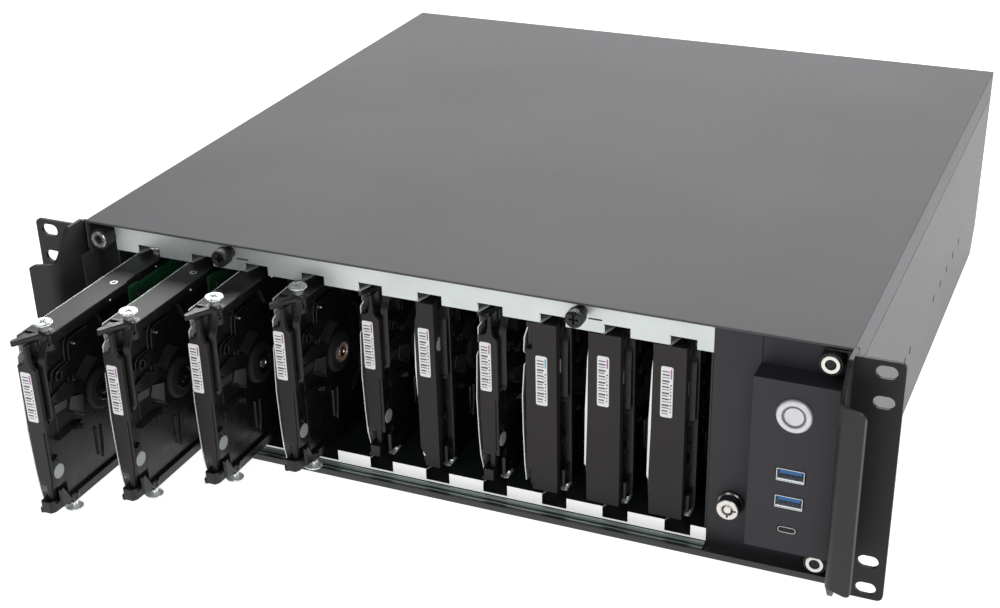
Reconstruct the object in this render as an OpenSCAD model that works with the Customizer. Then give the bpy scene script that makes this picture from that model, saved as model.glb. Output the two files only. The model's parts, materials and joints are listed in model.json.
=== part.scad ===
// Three-unit rack storage enclosure with ten open 3.5 inch drive bays.
// Frame: +X to the right seen from the front, +Y to the back, +Z up, in millimetres.
// The origin is the middle of the underside of the chassis floor.

/* [Rack fit] */
// Overall width across both ears
rack_w = 482.6; // [481:0.1:483]
// Height of the ears
ear_h = 132.5; // [132:0.1:133]
// Sheet thickness of the ears
ear_t = 2; // [1.6:0.1:2.4]
// Distance between the left and right columns of rack slots
slot_span = 465.1; // [464.5:0.1:465.8]
// Height of the lowest rack slot above the ear's lower edge
slot_first = 5.95; // [5.8:0.05:6.1]
// Step between the two neighbouring slots of a pair
slot_step = 15.875; // [15.8:0.005:15.9]
// End-to-end length of a rack slot
slot_len = 10.3; // [9:0.1:11]
// Height of a rack slot
slot_h = 6.8; // [6.4:0.1:7]
// Reach of the handles in front of the ears
handle_reach = 25; // [23:0.5:27]
// Height of the handles at their grip
grip_h = 116.5; // [112:0.5:120]

/* [Body] */
// Width of the steel body
body_w = 431; // [430.5:0.1:431.5]
// Height of the body over the cover
body_h = 131.2; // [131:0.1:131.6]
// Thickness of the body sheet
sheet = 1.2; // [1:0.1:1.4]
// Depth of the floor, front to back
floor_d = 427; // [426:1:428]
// Distance of the floor's front edge behind the ears' front face
floor_setback = 5; // [4.5:0.1:5.5]
// Distance of the cover's front edge behind the ears' front face
cover_setback = 9.5; // [9:0.1:10]
// Distance of the side walls' rear edges behind the ears' front face
rear_depth = 441.5; // [440:0.5:443]
// Height of the seam between side wall and cover skirt
seam_z = 113.4; // [112:0.1:115]
// Height of the sloped lower rear edge
slope_h = 18; // [16:1:20]

/* [Front panels] */
// Distance of the panels and the cage behind the ears' front face
panel_setback = 14.5; // [14.2:0.1:14.8]
// Left edge of the right panel
panel_x = 146.9; // [146.6:0.1:147.4]
// Right edge of the left strip
strip_x = -199.9; // [-200.4:0.1:-199.6]
// Width of the raised port box
box_w = 42.2; // [42:0.1:42.3]
// Height of the raised port box
box_h = 96; // [95:0.5:97]
// Centre of the port box and its ports in X
box_x = 191.6; // [191.5:0.05:191.6]
// Lower edge of the port box
box_z = 17; // [16.5:0.1:17.5]
// Height of the power button's axis
button_z = 95.4; // [94:0.1:97]
// Outer diameter of the power button's bezel
button_d = 18; // [17:0.1:19]
// Travel of the power button
button_travel = 1.5; // [1:0.1:2]
// Heights of the three ports, two type A and one type C
port_z = [61.8, 46.4, 30.4];
// Lock axis, X and Z
lock_at = [159.3, 30];
// Outer diameter of the lock face
lock_d = 11.6; // [11:0.1:12.5]
// Distance of the door posts from the middle
post_x = 205.4; // [205:0.1:205.8]
// Heights of the lower and upper door posts
post_z = [9, 122.2];
// Diameter of a door post
post_d = 12; // [11:0.1:12.4]

/* [Drive cage] */
// Number of drive bays
bay_count = 10; // [10:1:10]
// Distance between two bays
bay_pitch = 34.4; // [34.3:0.1:34.5]
// Middle of the row of bays
bays_x = -23.5; // [-23.7:0.1:-23.3]
// Width of the notch that lets a guide screw in
notch_w = 14; // [13.6:0.1:14.4]
// Width of the slot that the screw's neck runs in
guide_w = 8.8; // [8.6:0.1:9]
// Sheet thickness of the cage
cage_t = 1; // [0.8:0.1:1.2]
// Depth of the cage
cage_d = 155; // [152:1:156]
// Places of the two cage thumbscrews
thumb_x = [-125.2, 78];
// Height of the cage thumbscrews
thumb_z = 124.6; // [124.4:0.1:124.8]

/* [Drives] */
// Length of a drive
drive_len = 147; // [146.8:0.1:147.2]
// Width of a drive, which stands upright here
drive_h = 101.6; // [101.4:0.1:101.8]
// Thickness of a slim drive
slim_t = 20.2; // [20:0.1:20.4]
// Thickness of a full-height drive
full_t = 26.1; // [25.9:0.1:26.2]
// Height of a drive's lower edge above the floor's underside
drive_z = 11.7; // [11.6:0.1:11.8]
// Distance of a seated drive's front behind the ears' front face
drive_setback = 15.5; // [15.3:0.1:15.7]
// Distances that the first drives stand out of their bays
pulled = [114, 88, 58, 31, 0, 0, 0, 0, 0, 0];
// Sideways play that each drive has taken in its guide slot
lean = [1.5, 0.5, -1.5, -1.5, 0, 0, 0, 0, 0, 0];
// Bays that hold a slim drive
slim_bays = [1, 2, 3, 4, 5, 6, 7];
// Bays whose drive has the stepped front with corner tabs
tabbed_bays = [1, 2, 3, 4, 5, 7];

/* [Hidden] */
$fn = 48;
gap = 0.3;
unit_edge = 120.65;

front_y = -(floor_setback + floor_d / 2);
floor_front = front_y + floor_setback;
floor_rear = floor_front + floor_d;
cover_front = front_y + cover_setback;
panel_y = front_y + panel_setback;
rear_y = front_y + rear_depth;
wall_back = floor_rear;
wall_front = wall_back - sheet;
side_x = body_w / 2;
inner_x = side_x - sheet - gap;
roof_z = body_h - sheet;
wall_top = roof_z - 0.4;

drive_y = front_y + drive_setback;
drive_top = drive_z + drive_h;
bay_first = bays_x - (bay_count - 1) * bay_pitch / 2;
guide_top_z = drive_top + 0.5;
guide_low_z = drive_z - 0.3 - cage_t;
rail_top = wall_top - 0.4;
notch_top = drive_top + 5.7;
cage_left = strip_x + 0.2;
cage_right = panel_x - 0.2;
cage_back = panel_y + cage_d;
screw_holes = [16.9, 118.5];
mid_hole = 76.9;
screw_side = 6.35;
hub_at = [50, 52];

board_y = cage_back + 3;
wall_y = board_y + 8;
fan_size = 120;
fan_y = wall_y + sheet + 0.4;
fan_t = 25;
fan_pitch = 130;
fan_z = 3 + fan_size / 2;

psu_w = 150;
psu_d = 140;
psu_h = 86;
psu_x = -205;
psu_z = sheet + 1;
psu_rear = wall_front - 0.2;
rocker_tilt = 6;
rocker_at = [psu_x + 20, psu_z + 68];
inlet_at = [psu_x + 20, psu_z + 40];
blower_x = psu_x + 97;
blower_z = psu_z + psu_h / 2;
blower_r = 36;

main_w = 170;
main_x = 8;
main_z = 8;
main_rear = wall_front - 1.5;
shield_x = main_x + 4;
shield_z = main_z - 4;
shield_w = 158.8;
shield_h = 44.5;
card_x = [-40, -19.7];
card_z = 14;
card_h = 104;
cover_screw_x = [-150, 0, 150];
cover_screw_z = 124;
card_w = 18.4;

slot_z = [
    slot_first,
    slot_first + slot_step,
    slot_first + unit_edge - slot_step,
    slot_first + unit_edge
];

function bay_x(i) = bay_first + (i - 1) * bay_pitch;
function listed(i, list) = len([for (n = list) if (n == i) n]) > 0;
function thickness(i) = listed(i, slim_bays) ? slim_t : full_t;
// Height of the handle's upper edge, s from 0 at the ear to 1 at the grip
function handle_z(s) = grip_h + (ear_h - grip_h) * (1 + cos(180 * s)) / 2;

// Box between two opposite corners
module block(low, high) {
    translate(low) cube(high - low);
}

// Rod along Y from y0 to y1
module rod(x, y0, y1, z, r) {
    translate([x, y0, z]) rotate([-90, 0, 0]) cylinder(r = r, h = y1 - y0);
}

// Ring along Y
module tube(x, y0, y1, z, r, bore) {
    difference() {
        rod(x, y0, y1, z, r);
        rod(x, y0 - 1, y1 + 1, z, bore);
    }
}

// Sheet of thickness t standing at x, its outline drawn in Y and Z
module side_sheet(x, t, outline) {
    translate([x, 0, 0]) rotate([90, 0, 90]) linear_extrude(t) polygon(outline);
}

// Round-ended slot through a sheet that faces Y, length along X
module slot_y(x, z, length, height, y0, y1) {
    for (s = [-1, 1])
        rod(x + s * (length - height) / 2, y0, y1, z, height / 2);
    block([x - (length - height) / 2, y0, z - height / 2],
          [x + (length - height) / 2, y1, z + height / 2]);
}

module mirrored_x() {
    children();
    mirror([1, 0, 0]) children();
}

module side_wall() {
    low_side = [
        [front_y + ear_t + 0.4, 0], [floor_rear, 0], [rear_y, slope_h],
        [rear_y, seam_z], [front_y + ear_t + 0.4, seam_z]
    ];
    block([side_x - sheet - 1.6, cover_front, seam_z - sheet], [side_x - sheet, rear_y, seam_z]);
    block([inner_x - sheet, cover_front, seam_z - sheet], [inner_x, rear_y, wall_top]);
    difference() {
        side_sheet(side_x - sheet, sheet, low_side);
        for (k = [0:4])
            block([side_x - 2, front_y + 263 + 23 * k, 38], [side_x + 1, front_y + 266 + 23 * k, 43]);
        for (k = [0:1])
            block([side_x - 2, front_y + 170 + 15 * k, 40.5], [side_x + 1, front_y + 173 + 15 * k, 45.5]);
    }
}

module rear_wall() {
    difference() {
        block([-inner_x, wall_front, 0], [inner_x, wall_back, wall_top]);
        block([psu_x + 3, wall_front - 1, psu_z + 3], [psu_x + psu_w - 3, wall_back + 1, psu_z + psu_h - 3]);
        block([shield_x, wall_front - 1, shield_z],
              [shield_x + shield_w, wall_back + 1, shield_z + shield_h]);
        for (x = card_x)
            block([x + 2, wall_front - 1, card_z], [x + card_w - 2, wall_back + 1, card_z + card_h - 4]);
        for (k = [0:17], row = [0:1])
            block([shield_x + 4 + 8.6 * k, wall_front - 1, 60 + 28 * row],
                  [shield_x + 8 + 8.6 * k, wall_back + 1, 82 + 28 * row]);
        for (x = cover_screw_x)
            rod(x, wall_front - 1, wall_back + 1, cover_screw_z, 2.3);
    }
}

module chassis_tray() {
    color("#303133") {
        block([-side_x, floor_front, 0], [side_x, floor_rear, sheet]);
        block([-side_x, floor_front, 0], [side_x, floor_front + sheet, 3.6]);
        mirrored_x() side_wall();
        rear_wall();
    }
}

module top_cover() {
    flange_x = inner_x - sheet - gap;
    color("#5c5d60") difference() {
        union() {
            block([-side_x, cover_front, roof_z], [side_x, rear_y, body_h]);
            block([-flange_x, wall_back + 0.4, 117], [flange_x, wall_back + 1.6, body_h]);
            mirrored_x()
                block([side_x - sheet, cover_front, seam_z + 0.4], [side_x, rear_y, body_h]);
        }
        for (x = cover_screw_x)
            rod(x, wall_back, wall_back + 3, cover_screw_z, 2.3);
    }
}

module cover_screws() {
    color("#202022") for (x = cover_screw_x) {
        rod(x, wall_back - 4, wall_back + 2, cover_screw_z, 1.9);
        rod(x, wall_back + 1.6, wall_back + 8, cover_screw_z, 4.8);
    }
}

function arc(cx, cy, r, from, to, steps) =
    [for (k = [0:steps]) let (a = from + (to - from) * k / steps) [cx + r * cos(a), cy + r * sin(a)]];

// Bent sheet seen from above: a web along the side, then the grip turned outwards
module handle_plan() {
    bend = 6;
    turn = 68;
    grip_len = 9.9;
    steps = 10;
    centre_x = side_x + ear_t / 2 + bend;
    web_end = front_y - handle_reach + 9.4;
    end_x = grip_len * sin(turn);
    end_y = -grip_len * cos(turn);
    inner = arc(centre_x, web_end, bend - ear_t / 2, 180 + turn, 180, steps);
    outer = arc(centre_x, web_end, bend + ear_t / 2, 180, 180 + turn, steps);
    linear_extrude(ear_h) polygon(concat(
        [[side_x, front_y + 8]], outer,
        [outer[steps] + [end_x, end_y], inner[0] + [end_x, end_y]],
        inner, [[side_x + ear_t, front_y + 8]]
    ));
}

module handle() {
    y_tip = front_y - handle_reach - 1;
    y_grip = front_y - handle_reach + 5;
    y_shoulder = front_y - 3;
    y_back = front_y + 9;
    drop = ear_h - grip_h;
    edge_x = rack_w / 2 - 11.4;
    round_r = 4;
    steps = 10;
    outline = concat(
        [[y_back, 0], [y_back, ear_h]],
        [for (k = [0:steps]) [y_shoulder + (y_grip - y_shoulder) * k / steps, handle_z(k / steps)]],
        [[y_tip, grip_h], [y_tip, drop]],
        [for (k = [steps:-1:0])
            [y_shoulder + (y_grip - y_shoulder) * k / steps, ear_h - handle_z(k / steps)]]
    );
    color("#333437") intersection() {
        handle_plan();
        side_sheet(side_x - 5, 30, outline);
        union() {
            block([side_x - 5, y_tip, 0], [edge_x - round_r, y_back, ear_h]);
            block([edge_x - round_r - 1, y_tip, drop + round_r], [edge_x, y_back, grip_h - round_r]);
            for (z = [drop + round_r, grip_h - round_r])
                rod(edge_x - round_r, y_tip, y_back, z, round_r);
        }
    }
}

module ear() {
    round_r = 3;
    outer_x = rack_w / 2;
    color("#2a2b2d") difference() {
        union() {
            block([side_x + ear_t, front_y, 0], [outer_x - round_r, front_y + ear_t, ear_h]);
            block([outer_x - round_r - 1, front_y, round_r], [outer_x, front_y + ear_t, ear_h - round_r]);
            for (z = [round_r, ear_h - round_r])
                rod(outer_x - round_r, front_y, front_y + ear_t, z, round_r);
        }
        for (z = slot_z)
            slot_y(slot_span / 2, z, slot_len, slot_h, front_y - 1, front_y + ear_t + 1);
    }
}

module left_ear() { mirror([1, 0, 0]) ear(); }
module right_ear() { ear(); }
module left_handle() { mirror([1, 0, 0]) handle(); }
module right_handle() { handle(); }

module left_front_strip() {
    color("#26272a") {
        difference() {
            block([-inner_x + sheet + 0.2, panel_y, 1.4], [strip_x, panel_y + sheet, rail_top]);
            for (z = post_z)
                rod(-post_x, panel_y - 1, panel_y + 2, z, 2.4);
        }
        block([-inner_x + sheet + 0.2, panel_y - 5, rail_top - 0.9],
              [strip_x - 4, panel_y + 0.1, rail_top]);
    }
}

module right_front_panel() {
    color("#3c3d41") {
        difference() {
            block([panel_x, panel_y, 1.4], [inner_x - sheet - 0.2, panel_y + sheet, rail_top]);
            block([box_x - box_w / 2 + sheet, panel_y - 1, box_z + sheet],
                  [box_x + box_w / 2 - sheet, panel_y + 2, box_z + box_h - sheet]);
            rod(lock_at[0], panel_y - 1, panel_y + 2, lock_at[1], 4.9);
            for (z = post_z)
                rod(post_x, panel_y - 1, panel_y + 2, z, 2.4);
            block([box_x - box_w / 2 + 0.2, panel_y - 1, box_z + box_h],
                  [box_x - box_w / 2 + 0.8, panel_y + 0.5, rail_top - 2]);
        }
        block([post_x - 3, panel_y - 5, rail_top - 0.9],
              [inner_x - sheet - 0.2, panel_y + 0.1, rail_top]);
    }
}

module port_box() {
    left = box_x - box_w / 2;
    right = box_x + box_w / 2;
    top = box_z + box_h;
    color("#3f4043") difference() {
        block([left, front_y, box_z], [right, panel_y, top]);
        block([left + sheet, front_y + 1.6, box_z + sheet], [right - sheet, panel_y + 1, top - sheet]);
        rod(box_x, front_y - 1, front_y + 3, button_z, 8.2);
        for (z = [port_z[0], port_z[1]])
            block([box_x - 7.4, front_y - 1, z - 3.8], [box_x + 7.4, front_y + 3, z + 3.8]);
        slot_y(box_x, port_z[2], 10, 4, front_y - 1, front_y + 3);
    }
}

// Slot in a guide plate, with a flared mouth, drawn from above
module guide_slot(x, length) {
    mouth = 6;
    translate([x, panel_y, 0]) polygon([
        [-notch_w / 2, -1], [notch_w / 2, -1], [notch_w / 2, cage_t],
        [guide_w / 2, mouth], [guide_w / 2, length], [-guide_w / 2, length],
        [-guide_w / 2, mouth], [-notch_w / 2, cage_t]
    ]);
}

module guide_plate(z) {
    translate([0, 0, z]) linear_extrude(cage_t) difference() {
        translate([cage_left, panel_y]) square([cage_right - cage_left, cage_d]);
        for (i = [1:bay_count])
            guide_slot(bay_x(i), 128);
    }
}

module cage_upper_guide() {
    color("#b9bfbf") {
        guide_plate(guide_top_z);
        difference() {
            block([cage_left, panel_y, guide_top_z], [cage_right, panel_y + cage_t, rail_top]);
            for (i = [1:bay_count])
                block([bay_x(i) - notch_w / 2, panel_y - 1, guide_top_z - 1],
                      [bay_x(i) + notch_w / 2, panel_y + 2, notch_top]);
            for (x = thumb_x)
                rod(x, panel_y - 1, panel_y + 2, thumb_z, 2.2);
            for (x = thumb_x)
                block([x + 3.5, panel_y - 1, thumb_z - 4.2], [x + 11, panel_y + 2, thumb_z - 3.3]);
        }
        block([cage_left, cage_back - cage_t, guide_top_z], [cage_right, cage_back, guide_top_z + 8]);
    }
}

module cage_lower_guide() {
    low = 2.4;
    foot = 8;
    color("#b9bfbf") {
        guide_plate(guide_low_z);
        difference() {
            block([cage_left, panel_y, low], [cage_right, panel_y + cage_t, guide_low_z + cage_t]);
            for (i = [1:bay_count])
                block([bay_x(i) - notch_w / 2, panel_y - 1, low + 2.4],
                      [bay_x(i) + notch_w / 2, panel_y + 2, guide_low_z + 2]);
        }
        block([cage_left, panel_y - foot, sheet + 0.2], [cage_right, panel_y + cage_t, low]);
        block([cage_left, panel_y - foot, sheet + 0.2], [cage_right, panel_y - foot + 1, low + 1]);
        block([cage_left, panel_y - foot + 3.2, low - 0.1], [cage_right, panel_y - foot + 4.4, low + 0.8]);
        for (x = [cage_left, cage_right - cage_t])
            block([x, panel_y, low], [x + cage_t, cage_back, guide_top_z - 0.1]);
    }
}

module backplane() {
    z0 = drive_z + 8;
    z1 = drive_top - 8;
    color("#1f5a35") difference() {
        block([cage_left + 4, board_y, drive_z], [cage_right - 4, board_y + 1.6, drive_top]);
        for (i = [1:bay_count])
            block([bay_x(i) - 15, board_y - 1, z0 + 38], [bay_x(i) - 3, board_y + 3, z1]);
    }
    color("#1a1a1c") for (i = [1:bay_count]) {
        block([bay_x(i) + 0.2, drive_y + drive_len + 0.6, drive_z + 24.6],
              [bay_x(i) + 7.2, board_y, drive_z + 69.4]);
        block([bay_x(i) + 2.2, drive_y + drive_len - 4.5, drive_z + 26.6],
              [bay_x(i) + 4.2, drive_y + drive_len + 1, drive_z + 67.4]);
    }
}

module fan_wall() {
    color("#a9aeb0") difference() {
        block([-inner_x + sheet + gap, wall_y, sheet + 0.1], [inner_x - sheet - gap, wall_y + sheet, 127]);
        for (k = [-1:1])
            rod(k * fan_pitch, wall_y - 1, wall_y + 3, fan_z, 58);
        for (s = [-1, 1])
            block([s * 203 - 5, wall_y - 1, 40], [s * 203 + 5, wall_y + 3, 90]);
    }
}

module fan_frame(x) {
    half = fan_size / 2;
    y1 = fan_y + fan_t;
    difference() {
        block([x - half, fan_y, fan_z - half], [x + half, y1, fan_z + half]);
        rod(x, fan_y - 1, y1 + 1, fan_z, 58);
        for (sx = [-1, 1], sz = [-1, 1])
            rod(x + sx * 52.5, fan_y - 1, y1 + 1, fan_z + sz * 52.5, 2.2);
    }
    rod(x, y1 - 5, y1, fan_z, 20);
    rod(x, fan_y + 6, y1 - 4, fan_z, 1.5);
    for (a = [45, 135, 225, 315])
        translate([x, y1 - 3.6, fan_z]) rotate([0, a, 0]) block([15, 0, -2], [62, 3, 2]);
}

module fan_frames() {
    color("#1c1c1e") for (k = [-1:1])
        fan_frame(k * fan_pitch);
}

// Seven-blade impeller on the axis (x, z), front face at y0, shaft hole between bore[0] and bore[1]
module impeller(x, y0, z, depth, hub_r, tip_r, shaft_r, bore) {
    difference() {
        union() {
            rod(x, y0, y0 + depth, z, hub_r);
            intersection() {
                rod(x, y0, y0 + depth, z, tip_r);
                for (b = [0:6])
                    translate([x, y0 + depth / 2, z]) rotate([0, b * 360 / 7, 0])
                        translate([hub_r - 1, 0, 0]) rotate([40, 0, 0])
                            block([0, -0.8, -depth], [tip_r, 0.8, depth]);
            }
        }
        rod(x, y0 + bore[0], y0 + bore[1], z, shaft_r + 0.04);
    }
}

module fan_rotor(k) {
    color("#2b2b2e") impeller(k * fan_pitch, fan_y + 3, fan_z, 16, 21, 56.5, 1.5, [2, 17]);
}

module fan_rotor_1() { fan_rotor(-1); }
module fan_rotor_2() { fan_rotor(0); }
module fan_rotor_3() { fan_rotor(1); }

module main_board() {
    y0 = main_rear - main_w;
    color("#1d3b2c") difference() {
        block([main_x, y0, main_z], [main_x + main_w, main_rear, main_z + 1.6]);
        for (dx = [6.35, 163.8], dy = [6.35, 160.4])
            rod_z(main_x + dx, main_rear - dy, main_z - 1, main_z + 3, 2);
    }
    color("#b08d3c") for (dx = [6.35, 163.8], dy = [6.35, 160.4])
        rod_z(main_x + dx, main_rear - dy, sheet, main_z, 3);
    color("#9a9ca0") {
        block([main_x + 8, main_rear - 18, main_z + 1.6], [main_x + 40, main_rear + 1, main_z + 30]);
        block([main_x + 46, main_rear - 18, main_z + 1.6], [main_x + 62, main_rear + 1, main_z + 32]);
        block([main_x + 68, main_rear - 22, main_z + 1.6], [main_x + 84, main_rear + 1, main_z + 30]);
        block([main_x + 92, main_rear - 22, main_z + 1.6], [main_x + 108, main_rear + 1, main_z + 30]);
        block([main_x + 118, main_rear - 14, main_z + 1.6], [main_x + 150, main_rear + 1, main_z + 16]);
    }
}

// Rod along Z from z0 to z1
module rod_z(x, y, z0, z1, r) {
    translate([x, y, z0]) cylinder(r = r, h = z1 - z0);
}

module memory_modules() {
    y0 = main_rear - 150;
    color("#235c3c") for (k = [0:1])
        block([main_x + 146 + 9 * k, y0, main_z + 1.6], [main_x + 148 + 9 * k, y0 + 133, main_z + 32]);
}

module processor_cooler() {
    x = main_x + 85;
    y = main_rear - 90;
    color("#aeb2b6") {
        block([x - 38, y - 38, main_z + 1.6], [x + 38, y + 38, main_z + 8]);
        for (k = [0:15])
            block([x - 38 + 5 * k, y - 38, main_z + 8], [x - 36.8 + 5 * k, y + 38, main_z + 52]);
    }
}

module power_supply() {
    y0 = psu_rear - psu_d;
    wall = 1.2;
    color("#8d9094") difference() {
        block([psu_x, y0, psu_z], [psu_x + psu_w, psu_rear, psu_z + psu_h]);
        block([psu_x + wall, y0 + wall, psu_z + wall],
              [psu_x + psu_w - wall, psu_rear - wall, psu_z + psu_h - wall]);
        difference() {
            rod(blower_x, psu_rear - 2, psu_rear + 1, blower_z, blower_r);
            for (r = [12, 20, 28])
                tube(blower_x, psu_rear - 3, psu_rear + 2, blower_z, r + 1.2, r - 1.2);
            rod(blower_x, psu_rear - 3, psu_rear + 2, blower_z, 4);
            for (a = [0, 90])
                translate([blower_x, psu_rear - 3, blower_z]) rotate([0, a + 45, 0])
                    block([-blower_r - 1, 0, -1.2], [blower_r + 1, 5, 1.2]);
        }
        block([inlet_at[0] - 13.8, psu_rear - 2, inlet_at[1] - 10],
              [inlet_at[0] + 13.8, psu_rear + 1, inlet_at[1] + 10]);
        block([rocker_at[0] - 11.6, psu_rear - 2, rocker_at[1] - 7.6],
              [rocker_at[0] + 11.6, psu_rear + 1, rocker_at[1] + 7.6]);
        for (k = [0:9])
            block([psu_x + 20 + 11 * k, y0 - 1, psu_z + 20], [psu_x + 26 + 11 * k, y0 + 2, psu_z + 66]);
    }
    color("#3a3a3c") rod(blower_x, psu_rear - 30, psu_rear - 26, blower_z, 14);
    color("#3a3a3c") rod(blower_x, psu_rear - 27, psu_rear - 12, blower_z, 1.5);
    color("#3a3a3c") block([blower_x - 60, psu_rear - 32, blower_z - 4],
                           [psu_x + psu_w - wall, psu_rear - 28, blower_z + 4]);
}

module supply_fan_rotor() {
    color("#242426") impeller(blower_x, psu_rear - 25, blower_z, 18, 13, 34, 1.5, [-1, 15]);
}

// Moulded inlet with the rocker's housing above it
module mains_inlet() {
    x = inlet_at[0];
    z = inlet_at[1];
    rocker_z = rocker_at[1];
    color("#1b1b1d") {
        difference() {
            union() {
                block([x - 13.6, psu_rear - 22, z - 9.8], [x + 13.6, psu_rear + 0.6, z + 9.8]);
                block([x - 11.4, psu_rear - 20, rocker_z - 7.4], [x + 11.4, psu_rear + 0.6, rocker_z + 7.4]);
                block([x - 15, psu_rear, z - 11], [x + 15, psu_rear + 1.6, rocker_z + 9]);
            }
            block([x - 12.2, psu_rear - 16, z - 8.2], [x + 12.2, psu_rear + 2, z + 8.2]);
            block([x - 10.2, psu_rear - 18, rocker_z - 5.9], [x + 10.2, psu_rear + 2, rocker_z + 5.9]);
            rod_z(x, psu_rear - 5, rocker_z - 8, rocker_z + 8, 1.25);
        }
        for (k = [-1:1])
            block([x + 7 * k - 1, psu_rear - 18, z - 2 - 2 * (1 - abs(k))],
                  [x + 7 * k + 1, psu_rear - 1, z + 2 - 2 * (1 - abs(k))]);
    }
}

// Rocker drawn tilted to its off side, with its two pivot stubs
module mains_switch() {
    color("#141416") translate([rocker_at[0], psu_rear - 5, rocker_at[1]]) rotate([0, 0, -rocker_tilt]) {
        difference() {
            intersection() {
                rod_z(0, 0, -5.6, 5.6, 11);
                block([-9.2, -2, -5.6], [9.2, 9, 5.6]);
            }
            rod_z(0, 15.5, -6, 6, 8);
        }
        rod_z(0, 0, -7, 7, 1.2);
    }
}

module io_shield() {
    y0 = wall_front - 0.3;
    color("#a8acaf") difference() {
        block([shield_x + 0.4, y0 - 0.6, shield_z + 0.4],
              [shield_x + shield_w - 0.4, y0, shield_z + shield_h - 0.4]);
        for (c = [[8, 40, 30], [46, 62, 32], [68, 84, 30], [92, 108, 30], [118, 150, 16]])
            block([main_x + c[0] - 0.4, y0 - 2, main_z + 1.2],
                  [main_x + c[1] + 0.4, y0 + 1, main_z + c[2] + 0.4]);
    }
}

module slot_covers() {
    y0 = wall_front - 1.2;
    color("#a8acaf") for (x = card_x) {
        block([x, y0, card_z - 4], [x + card_w, y0 + 0.9, card_z + card_h]);
        block([x, y0 - 10, card_z + card_h - 1], [x + card_w, y0 + 0.9, card_z + card_h]);
    }
}

module button_bezel() {
    color("#d4d6d8") difference() {
        union() {
            rod(box_x, front_y - 1.8, front_y - 0.05, button_z, button_d / 2);
            rod(box_x, front_y - 0.1, front_y + 20, button_z, 7.9);
        }
        rod(box_x, front_y - 2, front_y - 1, button_z, 5.95);
        rod(box_x, front_y - 2, front_y + 6.5 + button_travel, button_z, 5);
    }
    color("#8a8c90") tube(box_x, front_y + 1.7, front_y + 5, button_z, 11, 7.9);
}

module button_cap() {
    color("#e8e8e8") {
        rod(box_x, front_y - 1.4, front_y + 5.8, button_z, 4.93);
    }
}

module port_shells() {
    color("#c9cbce") {
        for (z = [port_z[0], port_z[1]])
            difference() {
                block([box_x - 7.1, front_y - 0.5, z - 3.5], [box_x + 7.1, front_y + 14, z + 3.5]);
                block([box_x - 6.25, front_y - 1, z - 2.6], [box_x + 6.25, front_y + 12, z + 2.6]);
            }
        difference() {
            slot_y(box_x, port_z[2], 9.4, 3.6, front_y - 0.3, front_y + 9);
            slot_y(box_x, port_z[2], 8.4, 2.6, front_y - 1, front_y + 7);
        }
    }
}

module port_tongues() {
    color("#1f6fc4") for (z = [port_z[0], port_z[1]])
        block([box_x - 5.6, front_y + 0.8, z + 0.3], [box_x + 5.6, front_y + 12, z + 2.2]);
    color("#222224")
        block([box_x - 3.3, front_y + 0.8, port_z[2] - 0.35], [box_x + 3.3, front_y + 7, port_z[2] + 0.35]);
}

module front_board() {
    color("#1f5a35") block([box_x - 17, front_y + 14, box_z + 6], [box_x + 17, front_y + 15.6, box_z + 56]);
}

module lock_barrel() {
    x = lock_at[0];
    z = lock_at[1];
    color("#3a3a3d") difference() {
        union() {
            rod(x, panel_y - 7.5, panel_y - 1.9, z, lock_d / 2);
            rod(x, panel_y - 2, panel_y - 0.05, z, 7);
            rod(x, panel_y - 0.1, panel_y + 14, z, 4.8);
        }
        rod(x, panel_y - 9, panel_y + 15, z, 3.6);
    }
}

module lock_core() {
    x = lock_at[0];
    z = lock_at[1];
    color("#d8d9db") difference() {
        rod(x, panel_y - 7.9, panel_y + 14.2, z, 3.55);
        tube(x, panel_y - 8.5, panel_y - 1, z, 3.1, 2.2);
        block([x - 0.5, panel_y - 8.5, z + 2.4], [x + 0.5, panel_y - 2, z + 4]);
    }
    color("#d8d9db") rod(x, panel_y + 14.2, panel_y + 17.5, z, 2);
}

module lock_cam() {
    x = lock_at[0];
    z = lock_at[1];
    color("#9a9da0") difference() {
        union() {
            rod(x, panel_y + 14.5, panel_y + 16.3, z, 5.5);
            block([x - 5.5, panel_y + 14.5, z], [x + 5.5, panel_y + 16.3, z + 22]);
        }
        rod(x, panel_y + 14, panel_y + 17, z, 2.01);
    }
}

module at_posts() {
    for (sx = [-1, 1], z = post_z)
        translate([sx * post_x, panel_y, z]) rotate([-90, 0, 0]) children();
}

module door_posts() {
    color("#1c1c1e") at_posts() difference() {
        union() {
            translate([0, 0, -8]) cylinder(r = post_d / 2, h = 7.95);
            translate([0, 0, -1]) cylinder(r = 2.3, h = 6);
        }
        translate([0, 0, -9]) cylinder(r = 5, h = 6);
    }
}

module post_rings() {
    color("#d8d9db") at_posts() difference() {
        translate([0, 0, -8.4]) cylinder(r = 4.9, h = 5.3);
        translate([0, 0, -9]) cylinder(r = 3.2, h = 7);
    }
}

module post_screws() {
    color("#232326") at_posts() difference() {
        translate([0, 0, -7.4]) cylinder(r = 2.9, h = 4.3);
        for (a = [0, 90])
            rotate([0, 0, a]) translate([-1.8, -0.35, -8]) cube([3.6, 0.7, 2]);
    }
}

module thumbscrew(x) {
    head_r = 4.8;
    color("#232325") {
        difference() {
            rod(x, panel_y - 12, panel_y - 4.5, thumb_z, head_r);
            for (a = [0:15:345])
                translate([x, 0, thumb_z]) rotate([0, a, 0])
                    block([head_r - 0.35, panel_y - 11.4, -0.3], [head_r + 1, panel_y - 5.1, 0.3]);
            for (a = [0, 90])
                translate([x, 0, thumb_z]) rotate([0, a, 0])
                    block([-2.6, panel_y - 13, -0.5], [2.6, panel_y - 10.5, 0.5]);
        }
        rod(x, panel_y - 4.6, panel_y - 0.4, thumb_z, 3.4);
        rod(x, panel_y - 0.5, panel_y + 9, thumb_z, 1.9);
    }
}

module left_thumbscrew() {
    thumbscrew(thumb_x[0]);
}

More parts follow.
